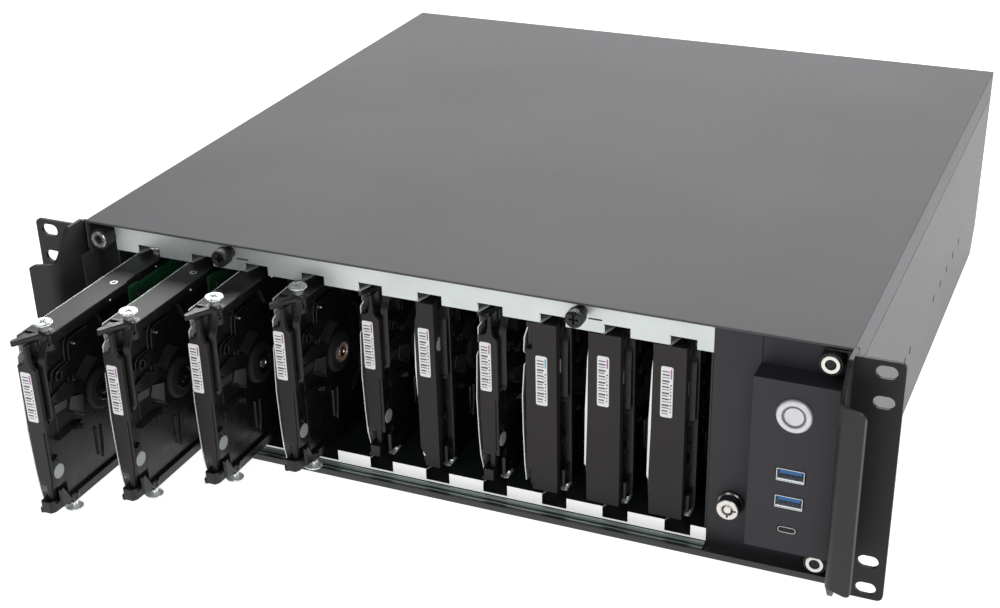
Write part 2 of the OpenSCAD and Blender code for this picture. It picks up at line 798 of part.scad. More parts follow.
module right_thumbscrew() {
    thumbscrew(thumb_x[1]);
}

// Place a drive's own frame: X from the guide screws' line, Y from its front, Z from its lower edge
module at_bay(i) {
    translate([bay_x(i) + lean[i - 1], drive_y - pulled[i - 1], drive_z]) children();
}

module screw_bores() {
    for (y = concat(screw_holes, [mid_hole]), z = [-1, drive_h - 7])
        rod_z(0, y, z, z + 8, 1.75);
}

// Corner tab at one end of a stepped front, drawn for the lower corner
module front_tab(left, right) {
    block([left + 1, 1, 0], [right, 8, 3.2]);
    block([-5.5, 0.4, 0], [-0.5, 8, 9]);
}

module drive_base(i) {
    left = screw_side - thickness(i) + sheet;
    face_right = 2;
    tabbed = listed(i, tabbed_bays);
    face_y = tabbed ? 4 : 0;
    end_inset = tabbed ? 9 : 0.8;
    color("#1e1f21") difference() {
        union() {
            block([left, face_y, end_inset], [face_right, 20, drive_h - end_inset]);
            block([left, face_y + 4, 0], [face_right, drive_len, drive_h]);
            for (z = [0, drive_h - 7])
                block([left, 9, z], [screw_side, drive_len, z + 7]);
            block([left, 84, 0], [screw_side - 2, drive_len, drive_h]);
            rod_x(face_right - 1, screw_side - 1.2, hub_at[0], hub_at[1], 12);
            if (tabbed) {
                front_tab(left, screw_side - 1);
                translate([0, 0, drive_h]) mirror([0, 0, 1]) front_tab(left, screw_side - 1);
                block([face_right - 0.5, 7, 57], [screw_side - 1.2, 8.6, drive_h - 6]);
            }
            if (!tabbed)
                block([screw_side - 1.4, 4, 3], [screw_side, 12, drive_h - 3]);
            if (!tabbed)
                block([face_right - 0.5, 9, 3], [screw_side, 12, drive_h - 3]);
        }
        screw_bores();
        block([-0.6, drive_len - 6, 23.6], [screw_side + 1, drive_len + 1, 70.4]);
    }
}

// Rod along X from x0 to x1
module rod_x(x0, x1, y, z, r) {
    translate([x0, y, z]) rotate([0, 90, 0]) cylinder(r = r, h = x1 - x0);
}

// Guide screw on the upper edge: flared head over a neck, shank down into the drive
module guide_screw() {
    difference() {
        rotate_extrude() polygon([
            [0, -5.6], [1.6, -5.6], [1.6, 0], [2.6, 0], [2.6, 1.8],
            [5, 4], [5, 4.7], [4.4, 5], [0, 5]
        ]);
        for (a = [0, 90])
            rotate([0, 0, a]) translate([-2, -0.45, 3.6]) cube([4, 0.9, 2]);
    }
}

module drive_lid_and_screws(i) {
    left = screw_side - thickness(i);
    color("#c4c7ca") {
        difference() {
            union() {
                block([left + 0.2, 5, 1.5], [left + sheet, drive_len - 1, drive_h - 1.5]);
                block([left, 12, 10], [left + 0.3, drive_len - 10, drive_h - 10]);
            }
            for (z = [1, drive_h - 10])
                block([left - 1, 4, z], [left + sheet + 1, 9, z + 9]);
        }
        for (y = screw_holes) {
            translate([0, y, drive_h]) guide_screw();
            translate([0, y, 0]) mirror([0, 0, 1]) guide_screw();
        }
    }
}

module drive_1() { at_bay(1) drive_base(1); }
module drive_2() { at_bay(2) drive_base(2); }
module drive_3() { at_bay(3) drive_base(3); }
module drive_4() { at_bay(4) drive_base(4); }
module drive_5() { at_bay(5) drive_base(5); }
module drive_6() { at_bay(6) drive_base(6); }
module drive_7() { at_bay(7) drive_base(7); }
module drive_8() { at_bay(8) drive_base(8); }
module drive_9() { at_bay(9) drive_base(9); }
module drive_10() { at_bay(10) drive_base(10); }
module drive_1_lid_and_screws() { at_bay(1) drive_lid_and_screws(1); }
module drive_2_lid_and_screws() { at_bay(2) drive_lid_and_screws(2); }
module drive_3_lid_and_screws() { at_bay(3) drive_lid_and_screws(3); }
module drive_4_lid_and_screws() { at_bay(4) drive_lid_and_screws(4); }
module drive_5_lid_and_screws() { at_bay(5) drive_lid_and_screws(5); }
module drive_6_lid_and_screws() { at_bay(6) drive_lid_and_screws(6); }
module drive_7_lid_and_screws() { at_bay(7) drive_lid_and_screws(7); }
module drive_8_lid_and_screws() { at_bay(8) drive_lid_and_screws(8); }
module drive_9_lid_and_screws() { at_bay(9) drive_lid_and_screws(9); }
module drive_10_lid_and_screws() { at_bay(10) drive_lid_and_screws(10); }

chassis_tray();
top_cover();
cover_screws();
left_ear();
right_ear();
left_handle();
right_handle();
left_front_strip();
right_front_panel();
port_box();
cage_upper_guide();
cage_lower_guide();
backplane();
fan_wall();
fan_frames();
fan_rotor_1();
fan_rotor_2();
fan_rotor_3();
main_board();
memory_modules();
processor_cooler();
power_supply();
supply_fan_rotor();
mains_inlet();
mains_switch();
io_shield();
slot_covers();
button_bezel();
button_cap();
port_shells();
port_tongues();
front_board();
lock_barrel();
lock_core();
lock_cam();
door_posts();
post_rings();
post_screws();
left_thumbscrew();
right_thumbscrew();
drive_1();
drive_1_lid_and_screws();
drive_2();
drive_2_lid_and_screws();
drive_3();
drive_3_lid_and_screws();
drive_4();
drive_4_lid_and_screws();
drive_5();
drive_5_lid_and_screws();
drive_6();
drive_6_lid_and_screws();
drive_7();
drive_7_lid_and_screws();
drive_8();
drive_8_lid_and_screws();
drive_9();
drive_9_lid_and_screws();
drive_10();
drive_10_lid_and_screws();
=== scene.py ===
"""Looks of the rack storage enclosure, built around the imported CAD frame."""
import json
import math

import bmesh
import bpy
from mathutils import Matrix, Vector

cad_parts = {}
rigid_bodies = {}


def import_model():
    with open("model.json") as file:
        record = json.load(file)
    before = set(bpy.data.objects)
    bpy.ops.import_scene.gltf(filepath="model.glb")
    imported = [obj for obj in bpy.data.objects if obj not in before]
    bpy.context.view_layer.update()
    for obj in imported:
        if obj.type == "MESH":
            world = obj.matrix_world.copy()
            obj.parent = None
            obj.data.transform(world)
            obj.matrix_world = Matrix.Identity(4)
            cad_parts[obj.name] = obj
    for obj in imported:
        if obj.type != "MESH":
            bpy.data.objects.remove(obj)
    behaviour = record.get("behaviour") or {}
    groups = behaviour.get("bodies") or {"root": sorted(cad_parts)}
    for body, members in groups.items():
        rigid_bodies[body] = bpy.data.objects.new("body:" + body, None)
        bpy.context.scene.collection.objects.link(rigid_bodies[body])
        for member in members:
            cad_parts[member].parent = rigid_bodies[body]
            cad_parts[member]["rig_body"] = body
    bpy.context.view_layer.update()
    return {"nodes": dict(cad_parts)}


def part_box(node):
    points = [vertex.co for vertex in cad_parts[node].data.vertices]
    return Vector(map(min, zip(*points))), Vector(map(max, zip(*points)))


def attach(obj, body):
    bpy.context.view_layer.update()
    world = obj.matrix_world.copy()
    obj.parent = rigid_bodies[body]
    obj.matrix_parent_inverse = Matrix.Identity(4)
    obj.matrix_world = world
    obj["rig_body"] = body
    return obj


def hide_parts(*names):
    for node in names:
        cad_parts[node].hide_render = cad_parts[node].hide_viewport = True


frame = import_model()
NODES = frame["nodes"]

MM = 0.001
SHEET = 1.2


def millimetres(point):
    return tuple(value / MM for value in point)


def corners(node):
    """Lowest and highest corner of a CAD node, in millimetres."""
    low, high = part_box(node)
    return millimetres(low), millimetres(high)


FRONT = corners("right_ear")[0][1]
COVER_LOW, COVER_HIGH = corners("top_cover")
FRONT_FACE = corners("port_box")[0][1]

# Standard sizes of a 3.5 inch drive: length, height, and the guide screw line to the board side
LENGTH, HEIGHT, SIDE = 147, 101.6, 6.35
# Places on a drive, from its front and its foot
HUB = (51, 51)
SCREW_Y = (16.9, 118.5)
MIDDLE_HOLE_Y = 76.9
# The row of bays
BAY_PITCH = 34.4
BAYS = 10


# -------------------- camera, light and stage

def add_camera():
    """Camera at the three-quarter view from the right, a little above the cover."""
    data = bpy.data.cameras.new("camera")
    data.sensor_width = 36
    data.lens = 58.48
    data.shift_x = -0.0201
    data.shift_y = 0.0503
    data.clip_start = 0.05
    camera = bpy.data.objects.new("camera", data)
    bpy.context.scene.collection.objects.link(camera)
    turn = Matrix.Rotation(math.radians(23.198), 4, "Z")
    tilt = Matrix.Rotation(math.radians(62.043), 4, "X")
    roll = Matrix.Rotation(math.radians(-1.104), 4, "Z")
    place = Vector((334.6, FRONT - 662.9, 484.6)) * MM
    camera.matrix_world = Matrix.Translation(place) @ turn @ tilt @ roll
    bpy.context.scene.camera = camera


def add_area(name, place, aim, size, power, colour=(1, 1, 1)):
    data = bpy.data.lights.new(name, "AREA")
    data.shape = "RECTANGLE"
    data.size, data.size_y = size
    data.energy = power
    data.color = colour
    light = bpy.data.objects.new(name, data)
    bpy.context.scene.collection.objects.link(light)
    light.location = place
    light.rotation_euler = (Vector(aim) - Vector(place)).to_track_quat("-Z", "Y").to_euler()


def add_stage():
    """White floor that hardly shades, so that the object stands on a bright, plain ground."""
    mesh = bpy.data.meshes.new("floor")
    reach = 30
    level = -0.0004
    mesh.from_pydata([(-reach, -reach, level), (reach, -reach, level), (reach, reach, level),
                      (-reach, reach, level)], [], [(0, 1, 2, 3)])
    floor = bpy.data.objects.new("floor", mesh)
    bpy.context.scene.collection.objects.link(floor)
    material = bpy.data.materials.new("floor_white")
    material.use_nodes = True
    shader = material.node_tree.nodes["Principled BSDF"]
    shader.inputs["Base Color"].default_value = (0.5, 0.5, 0.5, 1)
    shader.inputs["Roughness"].default_value = 0.9
    shader.inputs["Emission Color"].default_value = (1, 1, 1, 1)
    shader.inputs["Emission Strength"].default_value = 0.93
    mesh.materials.append(material)


def add_light():
    world = bpy.data.worlds.new("studio")
    world.use_nodes = True
    background = world.node_tree.nodes["Background"]
    background.inputs["Color"].default_value = (1, 1, 1, 1)
    background.inputs["Strength"].default_value = 0.16
    bpy.context.scene.world = world
    add_area("key_front", (0.9, -1.9, 0.9), (0.05, -0.1, 0.05), (1.0, 0.8), 9)
    add_area("side", (2.3, 0.3, 0.55), (0.2, 0.1, 0.06), (1.4, 0.9), 44)
    add_area("overhead", (-0.35, 1.5, 1.1), (0, 0.1, 0), (2.4, 1.0), 41)
    add_area("fill", (-0.9, -1.6, 1.4), (0, -0.2, 0.05), (0.8, 0.8), 4)
    bpy.context.scene.view_settings.view_transform = "Standard"


# -------------------- materials

def new_material(name, colour, roughness, metallic=0.0):
    material = bpy.data.materials.new(name)
    material.use_nodes = True
    shader = material.node_tree.nodes["Principled BSDF"]
    shader.inputs["Base Color"].default_value = (*colour, 1)
    shader.inputs["Roughness"].default_value = roughness
    shader.inputs["Metallic"].default_value = metallic
    return material, material.node_tree, shader


def object_coordinates(tree, scale=(1, 1, 1)):
    source = tree.nodes.new("ShaderNodeTexCoord")
    mapping = tree.nodes.new("ShaderNodeMapping")
    mapping.inputs["Scale"].default_value = scale
    tree.links.new(source.outputs["Object"], mapping.inputs["Vector"])
    return mapping.outputs["Vector"]


def add_noise(tree, vector, scale, detail=3.0):
    noise = tree.nodes.new("ShaderNodeTexNoise")
    noise.inputs["Scale"].default_value = scale
    noise.inputs["Detail"].default_value = detail
    tree.links.new(vector, noise.inputs["Vector"])
    return noise.outputs["Fac"]


def map_range(tree, value, low, high, start=0.3, end=0.7):
    node = tree.nodes.new("ShaderNodeMapRange")
    node.inputs["From Min"].default_value = start
    node.inputs["From Max"].default_value = end
    node.inputs["To Min"].default_value = low
    node.inputs["To Max"].default_value = high
    tree.links.new(value, node.inputs["Value"])
    return node.outputs["Result"]


def tint(tree, shader, factor, dark, light):
    """Base colour that drifts between two shades with the factor."""
    ramp = tree.nodes.new("ShaderNodeValToRGB")
    ramp.color_ramp.elements[0].position = 0.3
    ramp.color_ramp.elements[0].color = (*dark, 1)
    ramp.color_ramp.elements[1].position = 0.7
    ramp.color_ramp.elements[1].color = (*light, 1)
    tree.links.new(factor, ramp.inputs["Fac"])
    tree.links.new(ramp.outputs["Color"], shader.inputs["Base Color"])


def add_bump(tree, shader, height, strength, distance):
    bump = tree.nodes.new("ShaderNodeBump")
    bump.inputs["Strength"].default_value = strength
    bump.inputs["Distance"].default_value = distance
    tree.links.new(height, bump.inputs["Height"])
    tree.links.new(bump.outputs["Normal"], shader.inputs["Normal"])


def powder_coat(name, colour, roughness=0.46, grain=0.25, drift=0.12, gloss=0.4):
    """Baked powder paint: fine orange-peel grain, a slow drift in tone, and a satin sheen."""
    material, tree, shader = new_material(name, colour, roughness)
    vector = object_coordinates(tree)
    shader.inputs["Specular IOR Level"].default_value = gloss
    slow = add_noise(tree, vector, 7, 2)
    dark = [c * (1 - drift) for c in colour]
    light = [c * (1 + drift) for c in colour]
    tint(tree, shader, slow, dark, light)
    fine = add_noise(tree, vector, 1500, 2)
    tree.links.new(map_range(tree, fine, roughness - 0.05, roughness + 0.07), shader.inputs["Roughness"])
    add_bump(tree, shader, fine, grain, 0.00012)
    return material


def rolled_steel(name, colour, roughness=0.38, spangle=0.06, grain=(1, 1, 90), metallic=0.72):
    """Zinc-plated sheet: soft cloudy spangle and faint rolling lines."""
    material, tree, shader = new_material(name, colour, roughness, metallic)
    cloudy = add_noise(tree, object_coordinates(tree), 45, 3)
    dark = [c * (1 - spangle) for c in colour]
    light = [min(1, c * (1 + spangle)) for c in colour]
    tint(tree, shader, cloudy, dark, light)
    lines = add_noise(tree, object_coordinates(tree, grain), 30, 4)
    tree.links.new(map_range(tree, lines, roughness - 0.08, roughness + 0.1), shader.inputs["Roughness"])
    add_bump(tree, shader, lines, 0.08, 0.0001)
    return material


def moulded_plastic(name, colour, roughness=0.5, grain=0.15):
    material, tree, shader = new_material(name, colour, roughness)
    vector = object_coordinates(tree)
    tint(tree, shader, add_noise(tree, vector, 60, 3), [c * 0.85 for c in colour], [c * 1.15 for c in colour])
    add_bump(tree, shader, add_noise(tree, vector, 900, 2), grain, 0.0001)
    return material


def turned_metal(name, colour, roughness=0.2, metallic=1.0):
    """Bright turned or plated metal with light wear in its gloss."""
    material, tree, shader = new_material(name, colour, roughness, metallic)
    vector = object_coordinates(tree)
    tint(tree, shader, add_noise(tree, vector, 120, 3), [c * 0.9 for c in colour], colour)
    wear = add_noise(tree, vector, 500, 4)
    tree.links.new(map_range(tree, wear, roughness - 0.06, roughness + 0.12), shader.inputs["Roughness"])
    return material


def circuit_board(name, colour):
    """Solder mask over copper tracks, seen as slightly lighter lines."""
    material, tree, shader = new_material(name, colour, 0.32)
    vector = object_coordinates(tree)
    brick = tree.nodes.new("ShaderNodeTexBrick")
    brick.inputs["Scale"].default_value = 190
    brick.inputs["Mortar Size"].default_value = 0.05
    brick.inputs["Color1"].default_value = (*colour, 1)
    brick.inputs["Color2"].default_value = (*[c * 0.8 for c in colour], 1)
    brick.inputs["Mortar"].default_value = (*[c * 1.7 for c in colour], 1)
    tree.links.new(vector, brick.inputs["Vector"])
    tree.links.new(brick.outputs["Color"], shader.inputs["Base Color"])
    add_bump(tree, shader, brick.outputs["Fac"], 0.2, 0.0001)
    return material


def cast_alloy(name, colour, roughness=0.3):
    """Die casting under a thin black electro-coat: glossy, with the faint flow of the casting."""
    material, tree, shader = new_material(name, colour, roughness)
    vector = object_coordinates(tree)
    flow = add_noise(tree, vector, 160, 4)
    tint(tree, shader, flow, [c * 0.85 for c in colour], [c * 1.15 for c in colour])
    tree.links.new(map_range(tree, flow, roughness - 0.07, roughness + 0.1), shader.inputs["Roughness"])
    add_bump(tree, shader, add_noise(tree, vector, 700, 3), 0.12, 0.0002)
    shader.inputs["Specular IOR Level"].default_value = 0.35
    shader.inputs["Coat Weight"].default_value = 0.1
    shader.inputs["Coat Roughness"].default_value = 0.15
    return material


def plain_matt(name, colour, glow=0.0):
    """Matt paper, ink or pale plate. A little glow stands for light thrown back from the floor."""
    material, tree, shader = new_material(name, colour, 0.55)
    shader.inputs["Emission Color"].default_value = (1, 1, 1, 1)
    shader.inputs["Emission Strength"].default_value = glow
    fibre = add_noise(tree, object_coordinates(tree), 1200, 3)
    tint(tree, shader, fibre, [c * 0.94 for c in colour], colour)
    return material


MATERIALS = {
    "cover": powder_coat("cover_coat", (0.083, 0.084, 0.090), 0.52, 0.25, 0.12, 0.2),
    "body": powder_coat("body_coat", (0.044, 0.0445, 0.047), 0.44),
    "ear": powder_coat("ear_coat", (0.0135, 0.0135, 0.0145), 0.46, 0.4, 0.12, 0.3),
    "handle": powder_coat("handle_coat", (0.019, 0.0195, 0.021), 0.44, 0.3, 0.12, 0.35),
    "panel": powder_coat("panel_coat", (0.030, 0.030, 0.035), 0.5, 0.25, 0.12, 0.3),
    "strip": powder_coat("strip_coat", (0.006, 0.006, 0.007), 0.5, 0.25, 0.12, 0.25),
    # edge: a lighter black on the drives' top faces, a painted highlight of the light from above
    "edge": powder_coat("top_edge_painted_highlight", (0.011, 0.011, 0.011), 0.42, 0.3, 0.2, 0.35),
    "zinc": rolled_steel("zinc_plate", (0.66, 0.70, 0.69), 0.4, 0.05, (1, 1, 90), 0.5),
    # pad: zinc painted near white with a glow, a painted reflection of the white floor
    "pad": plain_matt("lip_zinc_painted_reflection", (0.97, 0.98, 0.98), 0.3),
    # foot: zinc darkened as painted shade on the ridges under the lower lip
    "foot": rolled_steel("foot_zinc_painted_shade", (0.36, 0.43, 0.41), 0.36),
    "inner_zinc": rolled_steel("shaded_zinc", (0.035, 0.046, 0.043), 0.5),
    "supply": rolled_steel("supply_plate", (0.52, 0.53, 0.54)),
    "rear_plate": rolled_steel("rear_plate", (0.27, 0.28, 0.285), 0.42),
    "lid": rolled_steel("lid_steel", (0.78, 0.80, 0.83), 0.28, 0.03, (1, 90, 1)),
    "bright": turned_metal("bright_plate", (0.86, 0.86, 0.87), 0.2),
    "button": turned_metal("anodised_button", (0.72, 0.72, 0.74), 0.42, 0.55),
    "groove": turned_metal("groove_grey", (0.22, 0.23, 0.24), 0.5, 0.4),
    "lock_face": turned_metal("lock_nickel", (0.86, 0.82, 0.78), 0.3, 0.6),
    "post_ring": turned_metal("post_ring_nickel", (0.82, 0.78, 0.74), 0.24, 0.85),
    "screw": turned_metal("screw_zinc", (0.80, 0.84, 0.85), 0.25, 0.7),
    "copper": turned_metal("spindle_copper", (0.60, 0.34, 0.24), 0.35, 0.4),
    "brass": turned_metal("standoff_brass", (0.72, 0.55, 0.25), 0.3),
    "collar": turned_metal("lock_collar_chrome", (0.26, 0.26, 0.27), 0.2),
    "oxide": turned_metal("black_oxide", (0.014, 0.014, 0.016), 0.32, 0.2),
    "aluminium": rolled_steel("fin_aluminium", (0.78, 0.79, 0.81), 0.32, 0.03),
    "plastic": moulded_plastic("black_plastic", (0.018, 0.018, 0.020)),
    "fan": moulded_plastic("fan_plastic", (0.022, 0.022, 0.024), 0.4),
    "blue": moulded_plastic("port_blue", (0.005, 0.12, 0.34), 0.35, 0.05),
    "board": circuit_board("board_green", (0.006, 0.040, 0.014)),
    "casting": cast_alloy("casting_black", (0.005, 0.005, 0.0055)),
    "boss": moulded_plastic("casting_boss", (0.003, 0.003, 0.003), 0.75),
    # ramp: the casting painted lighter, as painted light on the sloping faces
    "ramp": cast_alloy("casting_ramp_painted_light", (0.013, 0.013, 0.013), 0.34),
    "fascia": powder_coat("fascia_black", (0.0145, 0.0125, 0.0113), 0.45, 0.15, 0.15, 0.33),
    "paper": plain_matt("label_paper", (0.86, 0.86, 0.86)),
    "ink": plain_matt("label_ink", (0.10, 0.10, 0.11)),
    "purple": plain_matt("label_purple", (0.42, 0.12, 0.40)),
    "cyan": plain_matt("label_cyan", (0.03, 0.42, 0.50)),
    "plug": plain_matt("seal_plug", (0.30, 0.32, 0.32)),
}


# -------------------- mesh building

def finish_mesh(mesh, bevel=0.0, segments=2, angle=35):
    """Bevels the hard edges of a mesh, in millimetres, and shades it smooth between them."""
    holder = bpy.data.objects.new("holder", mesh)
    bpy.context.scene.collection.objects.link(holder)
    for polygon in mesh.polygons:
        polygon.use_smooth = True
    if bevel:
        rounding = holder.modifiers.new("rounding", "BEVEL")
        rounding.width = bevel * MM
        rounding.segments = segments
        rounding.limit_method = "ANGLE"
        rounding.angle_limit = math.radians(angle)
        rounding.use_clamp_overlap = True
        rounding.miter_outer = "MITER_ARC"
    weighting = holder.modifiers.new("weighting", "WEIGHTED_NORMAL")
    weighting.keep_sharp = True
    mesh.set_sharp_from_angle(angle=math.radians(60 if bevel else angle))
    bpy.context.view_layer.update()
    evaluated = holder.evaluated_get(bpy.context.evaluated_depsgraph_get())
    result = bpy.data.meshes.new_from_object(evaluated)
    bpy.data.objects.remove(holder)
    return result


def place_mesh(name, mesh, body, slot, material, *replaced):
    """Makes a piece from a finished mesh, riding on a body."""
    mesh.name = name
    mesh.materials.clear()
    mesh.materials.append(MATERIALS[material])
    piece = bpy.data.objects.new(name, mesh)
    bpy.context.scene.collection.objects.link(piece)
    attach(piece, body)
    if replaced:
        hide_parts(*replaced)
    return piece


class Solid:
    """Closed shapes gathered into one mesh. All sizes are in millimetres."""

    def __init__(self, origin=(0, 0, 0)):
        self.bm = bmesh.new()
        self.origin = Vector(origin)

    def ring(self, points):
        return [self.bm.verts.new(self.origin + Vector(p)) for p in points]

    def join_rings(self, rings, closed=False):
        pairs = list(zip(rings, rings[1:]))
        if closed:
            pairs.append((rings[-1], rings[0]))
        for one, other in pairs:
            count = len(one)
            for i in range(count):
                j = (i + 1) % count
                self.bm.faces.new((one[i], one[j], other[j], other[i]))
        if not closed:
            self.bm.faces.new(rings[0][::-1])
            self.bm.faces.new(rings[-1])

    def prism(self, outline, axis, start, end):
        """Straight extrusion of an outline along X, Y or Z. The outline holds the other two coordinates."""
        def point(p, t):
            return {"X": (t, p[0], p[1]), "Y": (p[0], t, p[1]), "Z": (p[0], p[1], t)}[axis]
        self.join_rings([self.ring([point(p, t) for p in outline]) for t in (start, end)])
        return self

    def box(self, low, high):
        outline = [(low[0], low[1]), (high[0], low[1]), (high[0], high[1]), (low[0], high[1])]
        return self.prism(outline, "Z", low[2], high[2])

    def lathe(self, profile, axis, centre, segments=40):
        """Body of revolution. The profile is a closed loop of radius and place along the axis."""
        rings = []
        for k in range(segments):
            turn = 2 * math.pi * k / segments
            c, s = math.cos(turn), math.sin(turn)
            points = []
            for r, t in profile:
                a, b = centre[0] + r * c, centre[1] + r * s
                points.append({"X": (t, a, b), "Y": (a, t, b), "Z": (a, b, t)}[axis])
            rings.append(self.ring(points))
        self.join_rings(rings, closed=True)
        return self

    def rod(self, axis, centre, start, end, radius, segments=32):
        circle = [(centre[0] + radius * math.cos(2 * math.pi * k / segments),
                   centre[1] + radius * math.sin(2 * math.pi * k / segments)) for k in range(segments)]
        return self.prism(circle, axis, start, end)

    def rib(self, path, width, base, top):
        """Raised bar with sloped flanks along a path of Y and Z, standing on a plane of constant X."""
        rings = []
        for i, p in enumerate(path):
            here = Vector(p)
            before = Vector(path[max(i - 1, 0)])
            after = Vector(path[min(i + 1, len(path) - 1)])
            along = (after - before).normalized()
            side = Vector((-along.y, along.x))
            wide, narrow = side * width / 2, side * width / 4
            rings.append(self.ring([
                (base, *(here + wide)), (top, *(here + narrow)),
                (top, *(here - narrow)), (base, *(here - wide))]))
        self.join_rings(rings)
        return self

    def mesh(self, bevel=0.0, segments=2, angle=35):
        bmesh.ops.recalc_face_normals(self.bm, faces=self.bm.faces)
        bmesh.ops.scale(self.bm, vec=(MM, MM, MM), verts=self.bm.verts)
        mesh = bpy.data.meshes.new("solid")
        self.bm.to_mesh(mesh)
        self.bm.free()
        return finish_mesh(mesh, bevel, segments, angle)


def cut(mesh, cutter):
    """The first mesh with the second taken away."""
    objects = [bpy.data.objects.new("cut", m) for m in (mesh, cutter)]
    for thing in objects:
        bpy.context.scene.collection.objects.link(thing)
    taking = objects[0].modifiers.new("taking", "BOOLEAN")
    taking.object = objects[1]
    taking.solver = "EXACT"
    bpy.context.view_layer.update()
    evaluated = objects[0].evaluated_get(bpy.context.evaluated_depsgraph_get())
    result = bpy.data.meshes.new_from_object(evaluated)
    for thing in objects:
        bpy.data.objects.remove(thing)
    return result


def cut_bars(mesh, *bars):
    """The mesh less straight bars, each given by its lowest and highest corner."""
    for low, high in bars:
        mesh = cut(mesh, Solid().box(low, high).mesh())
    return mesh


def refined(node, material, slot, bevel=0.25, segments=2, merge=True):
    """A CAD node's own shape with its hard edges rounded, shown in its place.

    Sheets with many holes are not merged: their faces are cut into triangles before the rounding.
    """
    bm = bmesh.new()
    bm.from_mesh(NODES[node].data)
    bmesh.ops.remove_doubles(bm, verts=bm.verts, dist=1e-6)
    bmesh.ops.dissolve_limit(bm, angle_limit=math.radians(0.6), verts=bm.verts, edges=bm.edges)
    if not merge:
        bmesh.ops.triangulate(bm, faces=bm.faces, quad_method="BEAUTY", ngon_method="EAR_CLIP")
    mesh = bpy.data.meshes.new(node)
    bm.to_mesh(mesh)
    bm.free()
    body = NODES[node]["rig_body"]
    return place_mesh(node + "_finished", finish_mesh(mesh, bevel, segments), body, slot, material, node)


def moved(mesh, offset):
    """A copy of a mesh, moved by an offset in millimetres."""
    copy = mesh.copy()
    copy.transform(Matrix.Translation(Vector(offset) * MM))
    return copy


# -------------------- sheet metal

def build_cover():
    """Folded cover with rounded bends along both sides and a rear flange."""
    half = COVER_HIGH[0]
    top = COVER_HIGH[2]
    skirt = COVER_LOW[2]
    bend = 0.6
    outer = [(half, skirt)]
    inner = [(half - SHEET, skirt), (half - SHEET, top - SHEET)]
    for k in range(5):
        a = math.radians(22.5 * k)
        outer.append((half - bend + bend * math.cos(a), top - bend + bend * math.sin(a)))
    left = [(-x, z) for x, z in reversed(outer)]
    left_inner = [(-x, z) for x, z in inner]
    outline = outer + left + left_inner + inner[::-1]
    cover = Solid()
    cover.prism(outline, "Y", COVER_LOW[1], COVER_HIGH[1])
    overhang, clearance = 9.5, 0.4
    flange = corners("chassis_tray")[1][1] - overhang + clearance
    cover.box((-half + 3.3, flange, 117), (half - 3.3, flange + SHEET, top - SHEET - 0.02))
    place_mesh("cover_folded", cover.mesh(0.18, 2, 30), "cover", "cover_paint", "cover", "top_cover")


def build_sheet_metal():
    refined("chassis_tray", "body", "body_paint", 0.3, merge=False)
    for side in ("left", "right"):
        refined(side + "_ear", "ear", "ear_paint", 0.3)
        refined(side + "_handle", "handle", "ear_paint", 0.45, 3)
    refined("left_front_strip", "strip", "panel_paint", 0.2)
    refined("right_front_panel", "panel", "panel_paint", 0.2, merge=False)
    refined("port_box", "panel", "panel_paint", 0.8, 3)
    refined("cage_upper_guide", "zinc", "zinc_steel", 0.12, 1)
    refined("cage_lower_guide", "inner_zinc", "zinc_steel", 0.12, 1)


def build_ear_flanges():
    """Folded edges that join the handles to the sides of the body."""
    half = COVER_HIGH[0]
    flanges = Solid()
    for side in (-1, 1):
        near, far = sorted((side * (half + 0.1), side * (half + 1.9)))
        flanges.box((near, FRONT + 7, 1), (far, FRONT + 12, 131))
    place_mesh("ear_flanges", flanges.mesh(0.3, 2), "chassis", "ear_paint", "strip")


def build_cage_front():
    """Lip pads painted near white with a glow as painted floor reflection, the three ridges of its foot, and
    the flared lips of the notches.
    """
    rail_low, rail_high = corners("cage_upper_guide")
    wall = rail_low[1]
    middle = sum(corners("drive_%d" % n)[1][0] for n in (5, 6)) / 2 - SIDE
    centres = [middle + BAY_PITCH * (k - (BAYS - 1) / 2) for k in range(BAYS)]
    half_notch = 7
    edges = [rail_low[0]] + [c + s for c in centres for s in (-half_notch, half_notch)] + [rail_high[0]]
    pads = Solid()
    for left, right in zip(edges[::2], edges[1::2]):
        pads.box((left + 0.05, wall - 0.2, 4.7), (right - 0.05, wall + 0.3, 11.35))
    pads.box((rail_low[0], wall - 0.2, 3.7), (rail_high[0], wall + 0.3, 4.72))
    place_mesh("lip_pads", pads.mesh(0.12, 1), "chassis", "zinc_steel", "pad")
    ridges = Solid()
    for back, high in ((0.3, 3.5), (2.9, 3.1), (5.5, 3)):
        y = wall - back
        ridges.prism([(y, 2), (y, high - 0.3), (y - 0.5, high), (y - 1.3, high), (y - 2, high - 0.5),
                      (y - 2.2, 2)], "X", rail_low[0], rail_high[0])
    # the foot ridges are zinc painted darker, as painted shade
    place_mesh("foot_ridges", ridges.mesh(0.2, 2, 20), "chassis", "zinc_steel", "foot")
    lips = Solid()
    shelf = rail_low[2]
    for x in centres:
        lips.prism([(x - 7.2, wall - 0.3), (x - 6.5, wall - 0.3), (x - 4.2, wall + 7), (x - 4.2, wall + 14),
                    (x - 4.9, wall + 14), (x - 5, wall + 7)], "Z", shelf - 0.3, shelf + 0.8)
        lips.prism([(x - 7.3, wall - 0.3), (x - 6.5, wall - 0.3), (x - 6.5, wall + 0.4),
                    (x - 7.3, wall + 0.4)], "Z", shelf - 0.3, shelf + 5)
        lips.prism([(x - 7.2, wall - 0.3), (x - 6.5, wall - 0.3), (x - 4.2, wall + 7), (x - 5, wall + 7)],
                   "Z", 10.9, 11.5)
    place_mesh("notch_lips", lips.mesh(0.1, 1), "chassis", "zinc_steel", "zinc")


# -------------------- disk drives

